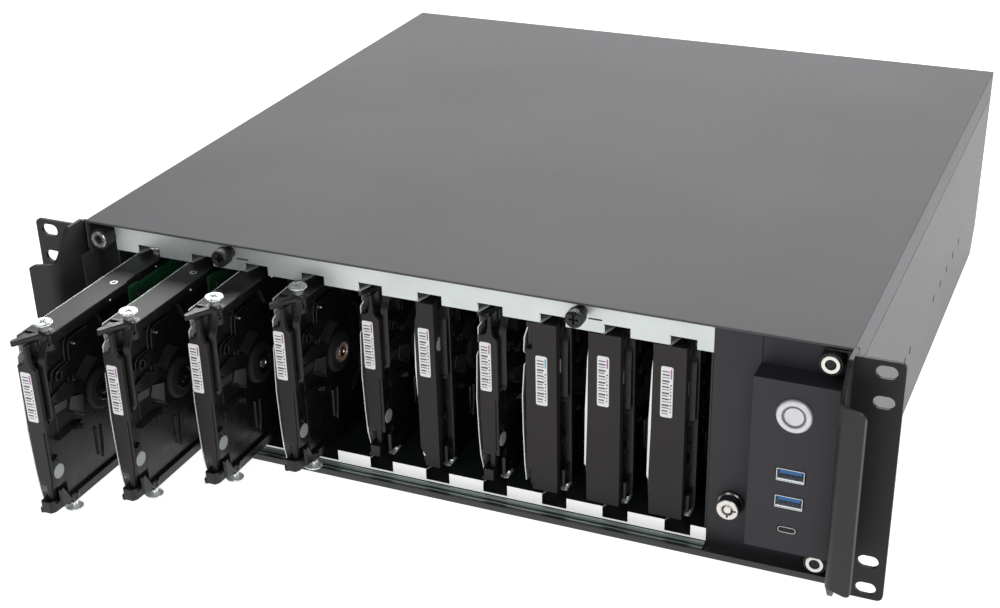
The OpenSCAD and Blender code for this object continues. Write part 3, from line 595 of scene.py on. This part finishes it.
# Edges of the pressed lid as seen from the front: across and up, from the guide screw line
LID_EDGES = {
    "tabbed": ([(-8, 93.5), (-10.25, 90), (-10.3, 81), (-9, 79), (-11.4, 73.3), (-12.3, 47), (-11.7, 25),
                (-11, 12), (-9.8, 5.7), (-9.5, 2.4)], 0.75),
    "slim": ([(-9.3, 94), (-10.2, 90), (-11.3, 84.8), (-11.9, 74.5), (-12.2, 60), (-11.7, 45), (-10.6, 32),
              (-10.5, 11), (-9.7, 5.5)], 1.3),
    "notched": ([(-15.6, 96.5), (-17.6, 90.2), (-18, 82), (-15.4, 79.4), (-15.4, 77.6), (-17.9, 74),
                 (-19.2, 55.5), (-19.1, 35), (-18.5, 13.4), (-17.7, 3.8)], 0.8),
    "wide": ([(-16.2, 95.5), (-17.3, 84), (-18.4, 55), (-18.8, 21.6), (-17.9, 20), (-17.4, 4.8)], 1.9),
}
KINDS_OF_DRIVES = ["tabbed"] * 5 + ["slim", "tabbed", "notched", "wide", "wide"]
# Left edge of the casting, and the left edge and foot of the label, for each kind
CASTING_LEFT = {"tabbed": -9.5, "slim": -10.4, "notched": -15.9, "wide": -15.9}
LABEL_AT = {"tabbed": (-8.5, 53.8), "slim": (-8.1, 57.2), "notched": (-10.1, 53.3), "wide": (-10.8, 59.6)}
# The labels were not all stuck on at the same spot
LABEL_SHIFT = {1: (0.5, 0.4), 2: (0.6, -2.3), 3: (-1.3, 1.2), 4: (-0.5, 2), 10: (-0.6, 0.6)}


def drive_origin(number):
    """Where the line of the guide screws meets the front and foot of a drive."""
    low, high = corners("drive_%d" % number)
    return high[0] - SIDE, high[1] - LENGTH, low[2]


def front_lug(solid, sign):
    """Finger that juts from the front corner of the upper or lower edge, and runs back to the screw."""
    level = HEIGHT if sign > 0 else 0
    finger = [(-9, 2.2), (-8.6, 0.3), (-7.3, -0.7), (-6, -0.1), (-3.4, 5), (-0.6, 9.4), (2.4, 12.4),
              (-2, 14), (-4.8, 11), (-7.2, 6.6)]
    solid.prism(finger, "Z", *sorted((level + 0.12 * sign, level - 2.6 * sign)))
    solid.box((-9.3, 6, min(level - 0.9 * sign, level - 5 * sign)),
              (-3, 14, max(level - 0.9 * sign, level - 5 * sign)))
    width, depth = (5, 11) if sign > 0 else (3.4, 6)
    seat = sorted((level + 0.2 * sign, level - depth * sign))
    solid.lathe([(0.05, seat[0]), (width - 1.4, seat[0]), (width, seat[0] + 1.4), (width, seat[1] - 1.4),
                 (width - 1.4, seat[1]), (0.05, seat[1])], "Z", (0.4, 16.9), 32)


def casting_section(left, side):
    """Section of the casting across its length: a plain back, and a rail along both edges."""
    return [(left, 0), (3, 0), (3, 5.4), (1, 6.4), (1, HEIGHT - 9),
            (side - 1.6, HEIGHT - 6.6), (side, HEIGHT - 5.4), (side, HEIGHT), (left, HEIGHT)]


def build_frame_of_casting(kind):
    """Body of the casting: its back, its rails, the notch for the connector, and what backs the face."""
    left = CASTING_LEFT[kind]
    casting = Solid()
    start = 13 if kind == "tabbed" else 12
    casting.prism(casting_section(left, SIDE), "Y", start, 80)
    casting.prism(casting_section(left + 0.9, 5.5), "Y", 79.9, LENGTH - 7)
    casting.box((0.5, 86, 10), (4.3, LENGTH - 7.5, HEIGHT - 10))
    casting.box((left + 1.1, LENGTH - 7.2, 0.2), (-1, LENGTH, HEIGHT - 0.2))
    for low, high in ((0.3, 23), (71, HEIGHT - 0.3)):
        casting.box((-1.5, LENGTH - 7.3, low), (4.8, LENGTH - 0.1, high))
    if kind == "tabbed":
        casting.box((left + 0.2, 3.8, 14), (0.95, 13.4, 52))
        casting.box((left + 0.2, 8.4, 51), (0.95, 13.4, 87))
        front_lug(casting, 1)
        front_lug(casting, -1)
        casting.prism([(-7.4, 0.4), (-6.6, -0.4), (-1.4, -0.4), (0.2, 2), (0.6, 9), (-7.4, 9)], "Z", 0.3, 7.4)
    else:
        casting.box((left + 0.3, 3, 0.8), (0.95, 12.4, HEIGHT - 0.8))
        casting.box((2, 9, 4), (SIDE - 0.1, 12.4, HEIGHT - 1))
        casting.box((0.5, 11, 1), (3, 12.6, HEIGHT - 1.2))
    return casting.mesh(0.45, 2)


def build_face_of_casting(kind):
    left = CASTING_LEFT[kind]
    face = Solid()
    if kind == "tabbed":
        face.prism([(-8.6, 17.5), (-5, 17.5), (-4.2, 16), (-4.2, 6), (-1.4, 6), (-1.2, 16), (-0.6, 17.5),
                    (-0.4, 48.2), (1.5, 49), (1.5, 84.8), (-0.4, 86), (-1.6, 88), (-1.8, 92), (-1.8, 98.6),
                    (-3.6, 98.6), (-3.9, 92), (-4.6, 88.4), (-6, 87), (-9.3, 86.6), (-9.3, 40)], "Y", 3, 6)
    elif kind == "slim":
        face.prism([(-7.6, 1), (1.2, 1), (1.2, 101), (-8.8, 101), (-8.8, 94), (-10, 90), (-10.2, 84),
                    (-10.2, 12), (-7.6, 8)], "Y", 0, 5)
    elif kind == "notched":
        face.prism([(-13, 0.6), (1.4, 0.6), (1.4, 101), (-15.2, 101), (-15.2, 97.8), (-12.2, 97.8),
                    (-12.2, 85.3), (-15.8, 85.3), (-16.2, 13), (-13.4, 12)], "Y", 0, 5)
    else:
        face.prism([(-16.6, 0.4), (1.7, 0.4), (1.7, 101), (-16, 101), (-15.8, 95), (-16.2, 55),
                    (-17, 22)], "Y", 0, 5)
    return face.mesh(0.35, 2)


def build_ribs_of_casting():
    """Ribs and small rings that stand in the well on the board side."""
    ribs = Solid()
    floor = 0.8
    ribs.rib([(12.9, 98), (9.7, 92.7), (7.6, 88.4), (7.2, 78), (7.2, 66), (7, 57), (5.4, 55)], 1.1, floor, 5)
    ribs.rib([(47, 93.4), (34.1, 93.9), (28.6, 93.6), (26, 91), (24.9, 86.6), (24.5, 80.8), (18.3, 80.6),
              (13.7, 79.8), (12.2, 77.5), (12.1, 74.6)], 1.2, floor, 3.4)
    ribs.rib([(46.3, 90.6), (34.4, 91.2), (30, 90.3), (28.8, 87.2), (28.2, 79.2), (21.3, 78.4), (17.1, 77.5),
              (16.1, 75.4), (16, 73)], 1.1, floor, 3.2)
    ribs.rib([(24.9, 71), (24.5, 68.4)], 1, floor, 3.8)
    ribs.rib([(28.3, 70.6), (27.7, 67.2)], 1, floor, 3.8)
    ribs.rib([(27.2, 40.4), (26.8, 38)], 1.2, floor, 3)
    ribs.rib([(31.2, 39), (30.8, 36.2)], 1.2, floor, 3)
    ribs.rib([(42, 31), (41.6, 14)], 1.6, floor, 2)
    ribs.rib([(47, 30), (46.4, 20), (45, 11)], 1.6, floor, 2)
    ribs.rib([(56, 93), (60, 84), (66, 79)], 1.4, floor, 3.4)
    ribs.rib([(72, 72), (78, 60), (79, 44), (74, 30), (62, 21)], 1.6, floor, 3.4)
    ribs.lathe([(1.9, floor), (1.9, 2.8), (2.8, 2.8), (2.8, floor)], "X", (19.2, 74.6), 24)
    ribs.prism([(4, 13.6), (6, 14.6), (12, 3.4), (4, 3.4)], "X", 2.2, 4.2)
    ribs.prism([(5, 31), (8, 33.4), (8, 28)], "X", floor, 2.6)
    plateau = [((32, 66.6), (37, 62.8)), ((26.6, 66.8), (31.8, 61)), ((21.2, 69), (28.1, 60.1)),
               ((14.8, 67.3), (17.9, 61.1)), ((9.8, 65.9), (12.9, 61.7))]
    ribs.join_rings([ribs.ring([(floor, *high), (2.9, *high), (3.9, *low), (floor, *low)])
                     for high, low in plateau])
    return ribs.mesh(0.25, 2, 25)


def build_ramps_of_casting():
    """Sloping faces of the well: they lean up and forward, and so catch the light. Their casting is also
    painted lighter, as painted light.
    """
    ramps = Solid()
    floor = 0.7
    band = [((44.8, 73.7), (49.7, 70.1)), ((40, 71.6), (44.8, 68.4)), ((35.8, 68.8), (40.8, 65.8)),
            ((32.3, 66.4), (37, 62.8))]
    ramps.join_rings([ramps.ring([(floor, *high), (1.3, *high), (4.1, *low), (floor, *low)])
                      for high, low in band])
    faces = [
        ((1.2, 26.9, 57.8), (4.6, 32.7, 57.2), (4.6, 31.1, 45.5), (1.2, 23.7, 51)),
        ((1.2, 13, 59.3), (3.3, 21.4, 59.8), (3.3, 20.4, 55.5), (1.2, 13.6, 54.4)),
        ((1, 13.4, 43.9), (1, 33.3, 41.2), (4, 27.9, 42.4), (4, 9.4, 41)),
    ]
    for face in faces:
        ramps.join_rings([ramps.ring([(floor, y, z) for x, y, z in face]), ramps.ring(face)])
    ramps.rib([(23.4, 51), (31.3, 45.4)], 1.3, floor, 5)
    return ramps.mesh(0.2, 2, 25)


def build_lid(kind):
    edge, thickness = LID_EDGES[kind]
    inner = [(x + thickness, z) for x, z in edge]
    lid = Solid()
    lid.prism(edge + inner[::-1], "Y", 4.9 if kind == "tabbed" else 2.4, LENGTH - 1)
    left = CASTING_LEFT[kind]
    for low, high in ((2, 10), (HEIGHT - 10, HEIGHT + 0.1)):
        lid.box((left - 0.5, 7, low), (left - 0.05, LENGTH - 2, high))
    return lid.mesh(0.2, 1, 50)


def build_guide_screw():
    """Flared guide screw with a cross recess, standing on the edge of the drive."""
    screw = Solid()
    screw.lathe([(0.05, -1), (2.6, -1), (2.6, 1.2), (3, 2), (4.6, 3.7), (5, 4.1), (5, 4.6), (4.6, 5),
                 (0.05, 5)], "Z", (0, 0), 48)
    recessed = cut_bars(screw.mesh(), ((-2.2, -0.5, 3.4), (2.2, 0.5, 5.5)),
                        ((-0.5, -2.2, 3.4), (0.5, 2.2, 5.5)))
    return finish_mesh(recessed, 0.15, 2)


def build_small_metal():
    """Pins that shine on the board side, and the plated middle holes of both edges."""
    metal = Solid()
    for y, z, x in ((35.4, 85.5, 2.4), (63.6, 98.4, 6.9), (108, 98.4, 6.1)):
        metal.lathe([(0.05, 0.5), (0.05, x), (0.5, x), (0.8, x - 0.5), (0.8, 0.5)], "X", (y, z), 16)
    for z in (HEIGHT + 0.08, -0.08):
        metal.lathe([(1.3, z - 0.1), (1.3, z), (2, z), (2, z - 0.1)], "Z", (0, MIDDLE_HOLE_Y), 24)
    return metal.mesh()


# Round pieces on the spindle axis, from the outside in: profile, segments and bevel
HUB_PIECES = {
    "boss": ([(0.5, 0.8), (0.5, 3.6), (10.2, 3.6), (11.6, 2.6), (12, 0.8)], 48, 0.4),
    "rim": ([(5.6, 1), (5.6, 4.3), (5.9, 4.6), (6.3, 4.4), (6.4, 4), (6.4, 1)], 48, 0),
    "ring": ([(3.1, 1), (3.1, 3.8), (5.6, 4), (5.6, 1)], 40, 0),
    "screw": ([(0.05, 1), (0.05, 4.3), (0.9, 4.3), (1.1, 4.7), (2.4, 4.6), (3, 4.2), (3, 1)], 32, 0),
}


def build_on_hub(part):
    profile, segments, bevel = HUB_PIECES[part]
    return Solid().lathe(profile, "X", HUB, segments).mesh(bevel)


def build_top_edge(kind):
    """Face along the upper edge of the casting, painted a lighter black than the casting as a painted
    highlight of the light from above.
    """
    left = CASTING_LEFT[kind]
    edge = Solid()
    edge.prism([(left + 0.3, 15), (-4.6, 15), (-3.4, 20.6), (3.4, 20.6), (SIDE - 0.35, 18),
                (SIDE - 0.35, 79.6), (5.2, 80.2), (5.2, LENGTH - 0.5), (left + 1.3, LENGTH - 0.5),
                (left + 1.3, 80.2), (left + 0.3, 79.6)], "Z", HEIGHT - 0.2, HEIGHT + 0.04)
    return edge.mesh()


def build_drive_board():
    board = Solid()
    board.prism([(80, 30), (80, 98.6), (88, 98.6), (90, 97.4), (120, 97.4), (121, 98.6), (145, 98.6),
                 (145, 72), (139, 72), (139, 22), (145, 22), (145, 4), (92, 4), (92, 22)], "X", 5.7, 7.2)
    return board.mesh(0.15, 1)


def build_board_parts():
    parts = Solid()
    for y, z, dy, dz, high in ((84, 70, 12, 12, 0.9), (100, 52, 15, 15, 1.1), (122, 60, 9, 12, 0.8),
                               (104, 80, 6, 4, 1.2), (126, 84, 8, 5, 1), (96, 30, 10, 10, 0.9),
                               (118, 30, 5, 8, 1.2), (86, 90, 4, 3, 1.4)):
        parts.box((7.1, y, z), (7.2 + high, y + dy, z + dz))
    return parts.mesh(0.12, 1)


def rounded_rectangle(low, high, radius, steps=5):
    points = []
    for cx, cz, start in ((high[0] - radius, high[1] - radius, 0), (low[0] + radius, high[1] - radius, 90),
                          (low[0] + radius, low[1] + radius, 180), (high[0] - radius, low[1] + radius, 270)):
        for k in range(steps + 1):
            a = math.radians(start + 90 * k / steps)
            points.append((cx + radius * math.cos(a), cz + radius * math.sin(a)))
    return points


def face_of(kind):
    """How far the face of a drive stands back from its front."""
    return 3 if kind == "tabbed" else 0


def build_label(kind):
    x, z = LABEL_AT[kind]
    y = face_of(kind)
    label = Solid()
    label.prism(rounded_rectangle((x, z), (x + 6.4, z + 29), 1.1), "Y", y - 0.12, y + 0.3)
    return label.mesh()


def build_label_print(kind):
    """Rows of a bar pattern and a column of small marks, without any lettering."""
    x, z = LABEL_AT[kind]
    y = face_of(kind)
    ink = Solid()
    for k in range(15):
        row = z + 26.4 - 1.72 * k
        thick = (0.55, 0.95, 0.4, 0.75)[k * 7 % 4]
        wide = 3.1 if k > 12 or k in (4, 8) else 3.7
        ink.box((x + 0.8, y - 0.17, row - thick), (x + 0.8 + wide, y - 0.1, row))
    for k in range(9):
        row = z + 19 - 1.9 * k
        ink.box((x + 5, y - 0.17, row - 0.8), (x + 5 + (0.55 if k % 3 else 0.8), y - 0.1, row))
    return ink.mesh()


def build_label_mark(kind):
    x, z = LABEL_AT[kind]
    y = face_of(kind)
    mark = Solid()
    mark.box((x + 5.1, y - 0.17, z + 22.4), (x + 5.8, y - 0.1, z + 27.6))
    return mark.mesh()


def build_plug(kind):
    """Round seal on the board side, near the front."""
    plug = Solid()
    centre = (8.6, 22.6) if kind == "tabbed" else (6.4, 75)
    plug.lathe([(0.05, 0.2), (0.05, 1.3), (3.8, 1.3), (4.1, 1), (4.1, 0.2)], "X", centre, 36)
    return plug.mesh()


def build_drives():
    screw = build_guide_screw()
    lower_screw = screw.copy()
    lower_screw.transform(Matrix.Diagonal((1, 1, -1, 1)))
    lower_screw.flip_normals()
    shared = {"ribs": build_ribs_of_casting(), "ramps": build_ramps_of_casting(),
              "metal": build_small_metal(), "board": build_drive_board(), "parts": build_board_parts()}
    shared.update({part: build_on_hub(part) for part in HUB_PIECES})
    per_kind = {}
    for kind in LID_EDGES:
        per_kind[kind] = {"frame": build_frame_of_casting(kind), "face": build_face_of_casting(kind),
                          "lid": build_lid(kind), "edge": build_top_edge(kind), "plug": build_plug(kind),
                          "label": build_label(kind), "print": build_label_print(kind),
                          "mark": build_label_mark(kind)}
    for number, kind in enumerate(KINDS_OF_DRIVES, 1):
        name, body = "drive_%d" % number, "disk_%d" % number
        origin = drive_origin(number)

        def put(part, mesh, slot, material, *replaced):
            return place_mesh(name + "_" + part, moved(mesh, origin), body, slot, material, *replaced)

        own = per_kind[kind]
        put("frame", own["frame"], "drive_casting", "casting", name)
        put("face", own["face"], "drive_casting", "fascia")
        put("ribs", shared["ribs"], "drive_casting", "casting")
        # the ramps carry the lighter, painted-light copy of the casting
        put("ramps", shared["ramps"], "drive_casting", "ramp")
        put("lid", own["lid"], "drive_steel", "lid", name + "_lid_and_screws")
        put("metal", shared["metal"], "drive_steel", "bright")
        # the top face is painted lighter than the casting, as a painted highlight
        put("top_edge", own["edge"], "drive_casting", "edge")
        put("hub_boss", shared["boss"], "drive_casting", "boss")
        put("hub_ring", shared["ring"], "drive_steel", "copper" if number == 4 else "casting")
        put("hub_rim", shared["rim"], "drive_steel", "bright" if number == 4 else "casting")
        put("hub_screw", shared["screw"], "drive_steel", "bright" if number in (3, 4) else "casting")
        put("board", shared["board"], "board_green", "board")
        put("board_parts", shared["parts"], "black_plastic", "plastic")
        put("plug", own["plug"], "drive_steel", "plug")
        across, up = LABEL_SHIFT.get(number, (0, 0))
        for part, slot, material in (("label", "drive_steel", "paper"), ("print", "black_plastic", "ink"),
                                     ("mark", "blue_plastic", "cyan" if number == 8 else "purple")):
            put("label_" + part, moved(own[part], (across, 0, up)), slot, material)
        for k, y in enumerate(SCREW_Y):
            put("upper_screw_%d" % k, moved(screw, (0, y, HEIGHT)), "drive_steel", "screw")
            put("lower_screw_%d" % k, moved(lower_screw, (0, y, 0)), "drive_steel", "screw")


# -------------------- fittings of the front

def axis_of(node):
    """X and Z of the axis of a node that is round about Y."""
    low, high = corners(node)
    return (low[0] + high[0]) / 2, (low[2] + high[2]) / 2


def build_button():
    """Ring-shaped bezel with a rounded rim, a grey groove, and the slightly crowned cap."""
    x, z = axis_of("button_cap")
    y = FRONT_FACE
    bezel = Solid()
    bezel.lathe([(5.9, y - 0.95), (5.9, y - 1.45), (6.2, y - 1.75), (7.9, y - 1.75), (8.6, y - 1.4),
                 (9, y - 0.8), (9, y), (7.9, y), (7.9, y + 19), (5.1, y + 19), (5.1, y - 0.95)],
                "Y", (x, z), 72)
    place_mesh("bezel_ring", bezel.mesh(), "chassis", "bright_steel", "button", "button_bezel")
    nut = Solid()
    nut.lathe([(7.9, y + 1.7), (11, y + 1.7), (11, y + 5), (7.9, y + 5)], "Y", (x, z), 6)
    place_mesh("bezel_nut", nut.mesh(0.3), "chassis", "bright_steel", "supply")
    groove = Solid()
    groove.lathe([(5.12, y - 1), (5.88, y - 1), (5.88, y - 0.9), (5.12, y - 0.9)], "Y", (x, z), 60)
    place_mesh("bezel_groove", groove.mesh(), "chassis", "bright_steel", "groove")
    cap = Solid()
    cap.lathe([(0.05, y - 1.3), (3.2, y - 1.32), (4.3, y - 1.4), (4.75, y - 1.25), (4.9, y - 0.9),
               (4.9, y + 5.8), (0.05, y + 5.8)], "Y", (x, z), 60)
    place_mesh("button_face", cap.mesh(), "power_button", "bright_steel", "button", "button_cap")


def build_ports():
    """Thin folded shells with their tongues, and a light lower plate in the type A ports."""
    low, high = corners("port_shells")
    x = (low[0] + high[0]) / 2
    y = FRONT_FACE
    tongue_top, small_half, pitch = 2.2, 1.8, 15.4
    upper = corners("port_tongues")[1][2] - tongue_top
    levels = (upper, upper - pitch)
    small = low[2] + small_half
    shells, tongues, contacts = Solid(), Solid(), Solid()
    for z in levels:
        for box_low, box_high in (((-7, 3.05), (7, 3.5)), ((-7, -3.5), (7, -3.05)),
                                  ((-7, -3.06), (-6.55, 3.06)), ((6.55, -3.06), (7, 3.06))):
            shells.box((x + box_low[0], y - 0.45, z + box_low[1]), (x + box_high[0], y + 12, z + box_high[1]))
        shells.box((x - 6.5, y + 11, z - 3), (x + 6.5, y + 12, z + 3))
        shells.box((x - 6.5, y - 0.2, z - 3.02), (x + 6.5, y + 9, z - 2.1))
        tongues.box((x - 5.7, y + 0.7, z + 0.2), (x + 5.7, y + 11, z + 2.3))
        for k in range(5):
            contacts.box((x - 4.9 + 2.2 * k, y + 1.5, z + 0.05), (x - 3.9 + 2.2 * k, y + 9, z + 0.25))
    place_mesh("port_folded_shells", shells.mesh(0.1, 1), "chassis", "bright_steel", "screw", "port_shells")
    place_mesh("port_blue_tongues", tongues.mesh(0.2, 2), "chassis", "blue_plastic", "blue", "port_tongues")
    place_mesh("port_contacts", contacts.mesh(), "chassis", "bright_steel", "brass")
    outer = rounded_rectangle((x - 4.6, small - 1.7), (x + 4.6, small + 1.7), 1.69, 8)
    inner = rounded_rectangle((x - 4.25, small - 1.35), (x + 4.25, small + 1.35), 1.34, 8)
    oval = Solid()
    rings = []
    for points, t in ((outer, y - 0.25), (outer, y + 8), (inner, y + 8), (inner, y - 0.25)):
        rings.append(oval.ring([(px, t, pz) for px, pz in points]))
    oval.join_rings(rings, closed=True)
    place_mesh("small_port_shell", oval.mesh(), "chassis", "bright_steel", "supply")
    core = Solid()
    core.prism(rounded_rectangle((x - 4.2, small - 1.3), (x + 4.2, small + 1.3), 1.29, 8), "Y", y + 4, y + 8)
    core.box((x - 3.3, y + 0.9, small - 0.3), (x + 3.3, y + 5, small + 0.3))
    place_mesh("small_port_core", core.mesh(0.08, 1), "chassis", "black_plastic", "plastic")


def build_lock():
    """Tubular lock: dark chrome collar, pale face with a keyway round the middle pin, and its notch."""
    x, z = axis_of("lock_core")
    reach = 7.9
    wall = corners("lock_core")[0][1] + reach
    collar = Solid()
    collar.lathe([(5.75, wall - 7.5), (5.75, wall - 2.4), (6.3, wall - 2), (6.9, wall - 1.6),
                  (7, wall - 0.05), (4.8, wall - 0.05), (4.8, wall + 14), (3.62, wall + 14),
                  (3.62, wall - 7.3), (5.3, wall - 7.3)], "Y", (x, z), 60)
    place_mesh("lock_collar", collar.mesh(0.15, 1), "chassis", "bright_steel", "collar", "lock_barrel")
    face = Solid()
    face.lathe([(3.64, wall - 7.45), (3.64, wall - 7.75), (5.3, wall - 7.75), (5.6, wall - 7.5),
                (5.6, wall - 7.2), (3.64, wall - 7.2)], "Y", (x, z), 60)
    place_mesh("lock_face_ring", face.mesh(), "chassis", "bright_steel", "lock_face")
    core = Solid()
    core.lathe([(0.05, wall - 7.6), (1.7, wall - 7.6), (2.15, wall - 7.2), (2.15, wall - 2.2),
                (3.1, wall - 2.2), (3.1, wall - 7.8), (3.55, wall - 7.8), (3.55, wall + 14.2),
                (2, wall + 14.2), (2, wall + 17.5), (0.05, wall + 17.5)], "Y", (x, z), 60)
    place_mesh("lock_turning_core", core.mesh(), "lock", "bright_steel", "lock_face", "lock_core")
    # The keyway's ring and notch marks are thin black sheets: painted shade in the lock's recesses.
    keyway = Solid()
    keyway.box((x + 1.9, wall - 7.84, z - 0.5), (x + 4.6, wall - 7.7, z + 0.5))
    keyway.box((x - 0.5, wall - 7.84, z - 4.4), (x + 0.5, wall - 7.7, z - 2.6))
    keyway.lathe([(2.2, wall - 3), (3.05, wall - 3), (3.05, wall - 2.6), (2.2, wall - 2.6)], "Y", (x, z), 48)
    place_mesh("lock_keyway", keyway.mesh(), "lock", "black_plastic", "plastic")


def build_posts():
    """Door posts: black sleeves with a rounded mouth, a bright seat, and a cross-head screw."""
    sleeves, seats, screws = Solid(), Solid(), Solid()
    low, high = corners("door_posts")
    radius, reach = 6, 8
    post_x = high[0] - radius
    wall = low[1] + reach
    for side in (-1, 1):
        for z in (low[2] + radius, high[2] - radius):
            where = (side * post_x, z)
            sleeves.lathe([(4.95, wall - 7.6), (5.2, wall - 8), (5.7, wall - 7.9), (6, wall - 7.5),
                           (6, wall - 0.05), (2.4, wall - 0.05), (2.4, wall - 2.9), (4.95, wall - 2.9)],
                          "Y", where, 48)
            seats.lathe([(2.5, wall - 7.7), (2.8, wall - 8.2), (4.4, wall - 8.35), (4.75, wall - 8),
                         (4.75, wall - 3), (2.5, wall - 3)], "Y", where, 48)
            screws.lathe([(0.05, wall - 7.1), (0.8, wall - 7.1), (1.1, wall - 7.6), (2.1, wall - 7.4),
                          (2.45, wall - 6.8), (2.45, wall - 3), (2.3, wall - 2.9), (2.3, wall + 4.9),
                          (0.05, wall + 4.9)], "Y", where, 36)
            for turn in (0.35, 0.35 + math.pi / 2):
                c, s = math.cos(turn), math.sin(turn)
                arm = ((1.7, 0.3), (-1.7, 0.3), (-1.7, -0.3), (1.7, -0.3))
                screws.prism([(where[0] + (u * c - v * s), where[1] + (u * s + v * c)) for u, v in arm],
                             "Y", wall - 7.75, wall - 7)
    place_mesh("post_sleeves", sleeves.mesh(), "chassis", "black_plastic", "plastic", "door_posts")
    place_mesh("post_seats", seats.mesh(), "chassis", "bright_steel", "post_ring", "post_rings")
    place_mesh("post_cross_screws", screws.mesh(), "chassis", "black_fastener", "oxide", "post_screws")


def build_thumbscrews():
    """Knurled black thumbscrews with a cross recess."""
    for side in ("left", "right"):
        x, z = axis_of(side + "_thumbscrew")
        face = corners(side + "_thumbscrew")[0][1]
        body = "thumbscrew_" + side
        screw = Solid()
        screw.lathe([(0.05, face + 0.4), (2.9, face + 0.4), (3.2, face), (3.8, face), (4.5, face + 0.5),
                     (4.6, face + 1), (4.6, face + 7.2), (3.4, face + 7.5), (3.4, face + 11.5),
                     (1.9, face + 11.6), (1.9, face + 20.8), (0.05, face + 20.8)], "Y", (x, z), 48)
        recessed = cut_bars(
            screw.mesh(), ((x - 2.5, face - 1, z - 0.55), (x + 2.5, face + 2.2, z + 0.55)),
            ((x - 0.55, face - 1, z - 2.5), (x + 0.55, face + 2.2, z + 2.5)))
        place_mesh(side + "_recessed_screw", finish_mesh(recessed, 0.1, 1), body, "black_fastener", "oxide",
                   side + "_thumbscrew")
        outer, inner = [], []
        crest, root, bore, points_round = 4.85, 4.5, 4.2, 96
        for k in range(points_round):
            a = 2 * math.pi * k / points_round
            r = crest if k % 4 < 2 else root
            outer.append((x + r * math.cos(a), z + r * math.sin(a)))
            inner.append((x + bore * math.cos(a), z + bore * math.sin(a)))
        knurl = Solid()
        knurl.join_rings([knurl.ring([(px, y, pz) for px, pz in points]) for points, y in (
            (outer, face + 0.9), (outer, face + 6.8), (inner, face + 6.8), (inner, face + 0.9))], closed=True)
        place_mesh(side + "_knurl", knurl.mesh(0.08, 1), body, "black_fastener", "oxide")


def build_rear_connectors():
    """Plated shells over the main board's rear connectors, with the dark mouths of their sockets."""
    low, high = corners("main_board")
    tallest = 32
    left, level, rear = low[0], high[2] - tallest, high[1]
    # Left and right edge, height, and how many sockets stand across and up
    connectors = ((8, 40, 30, 2, 3), (46, 62, 32, 1, 3), (68, 84, 30, 1, 2), (92, 108, 30, 1, 2),
                  (118, 150, 16, 3, 1))
    board = 1.6
    shells, mouths = Solid(), Solid()
    for start, end, top, across, up in connectors:
        shells.box((left + start - 0.2, rear - 12, level + 1.62),
                   (left + end + 0.2, rear + 0.15, level + top + 0.2))
        wide, tall = (end - start) / across, (top - board) / up
        for i in range(across):
            for j in range(up):
                x, z = left + start + wide * i, level + board + tall * j
                if up == 1:
                    mouths.rod("Y", (x + wide / 2, z + tall / 2), rear + 0.1, rear + 0.25, 3)
                else:
                    mouths.box((x + 1.5, rear + 0.1, z + 1.7), (x + wide - 1.5, rear + 0.25, z + tall - 1.7))
    place_mesh("rear_connector_shells", shells.mesh(0.25, 2), "chassis", "supply_steel", "rear_plate")
    place_mesh("rear_connector_mouths", mouths.mesh(), "chassis", "black_plastic", "plastic")


# -------------------- finish

def paint(node, material):
    """Gives a CAD node that stays in view its procedural material."""
    data = NODES[node].data
    data.materials.clear()
    data.materials.append(MATERIALS[material])


def paint_cad_nodes():
    for node, material in {
        "cover_screws": "oxide", "backplane": "board", "fan_wall": "zinc", "fan_frames": "fan",
        "fan_rotor_1": "fan", "fan_rotor_2": "fan", "fan_rotor_3": "fan", "main_board": "board",
        "memory_modules": "board", "processor_cooler": "aluminium", "power_supply": "rear_plate",
        "supply_fan_rotor": "fan", "mains_inlet": "plastic", "mains_switch": "plastic",
        "io_shield": "rear_plate", "slot_covers": "rear_plate", "front_board": "board", "lock_cam": "zinc",
    }.items():
        paint(node, material)


add_camera()
add_light()
add_stage()
build_cover()
build_sheet_metal()
build_ear_flanges()
build_cage_front()
build_drives()
build_button()
build_ports()
build_lock()
build_posts()
build_thumbscrews()
build_rear_connectors()
paint_cad_nodes()
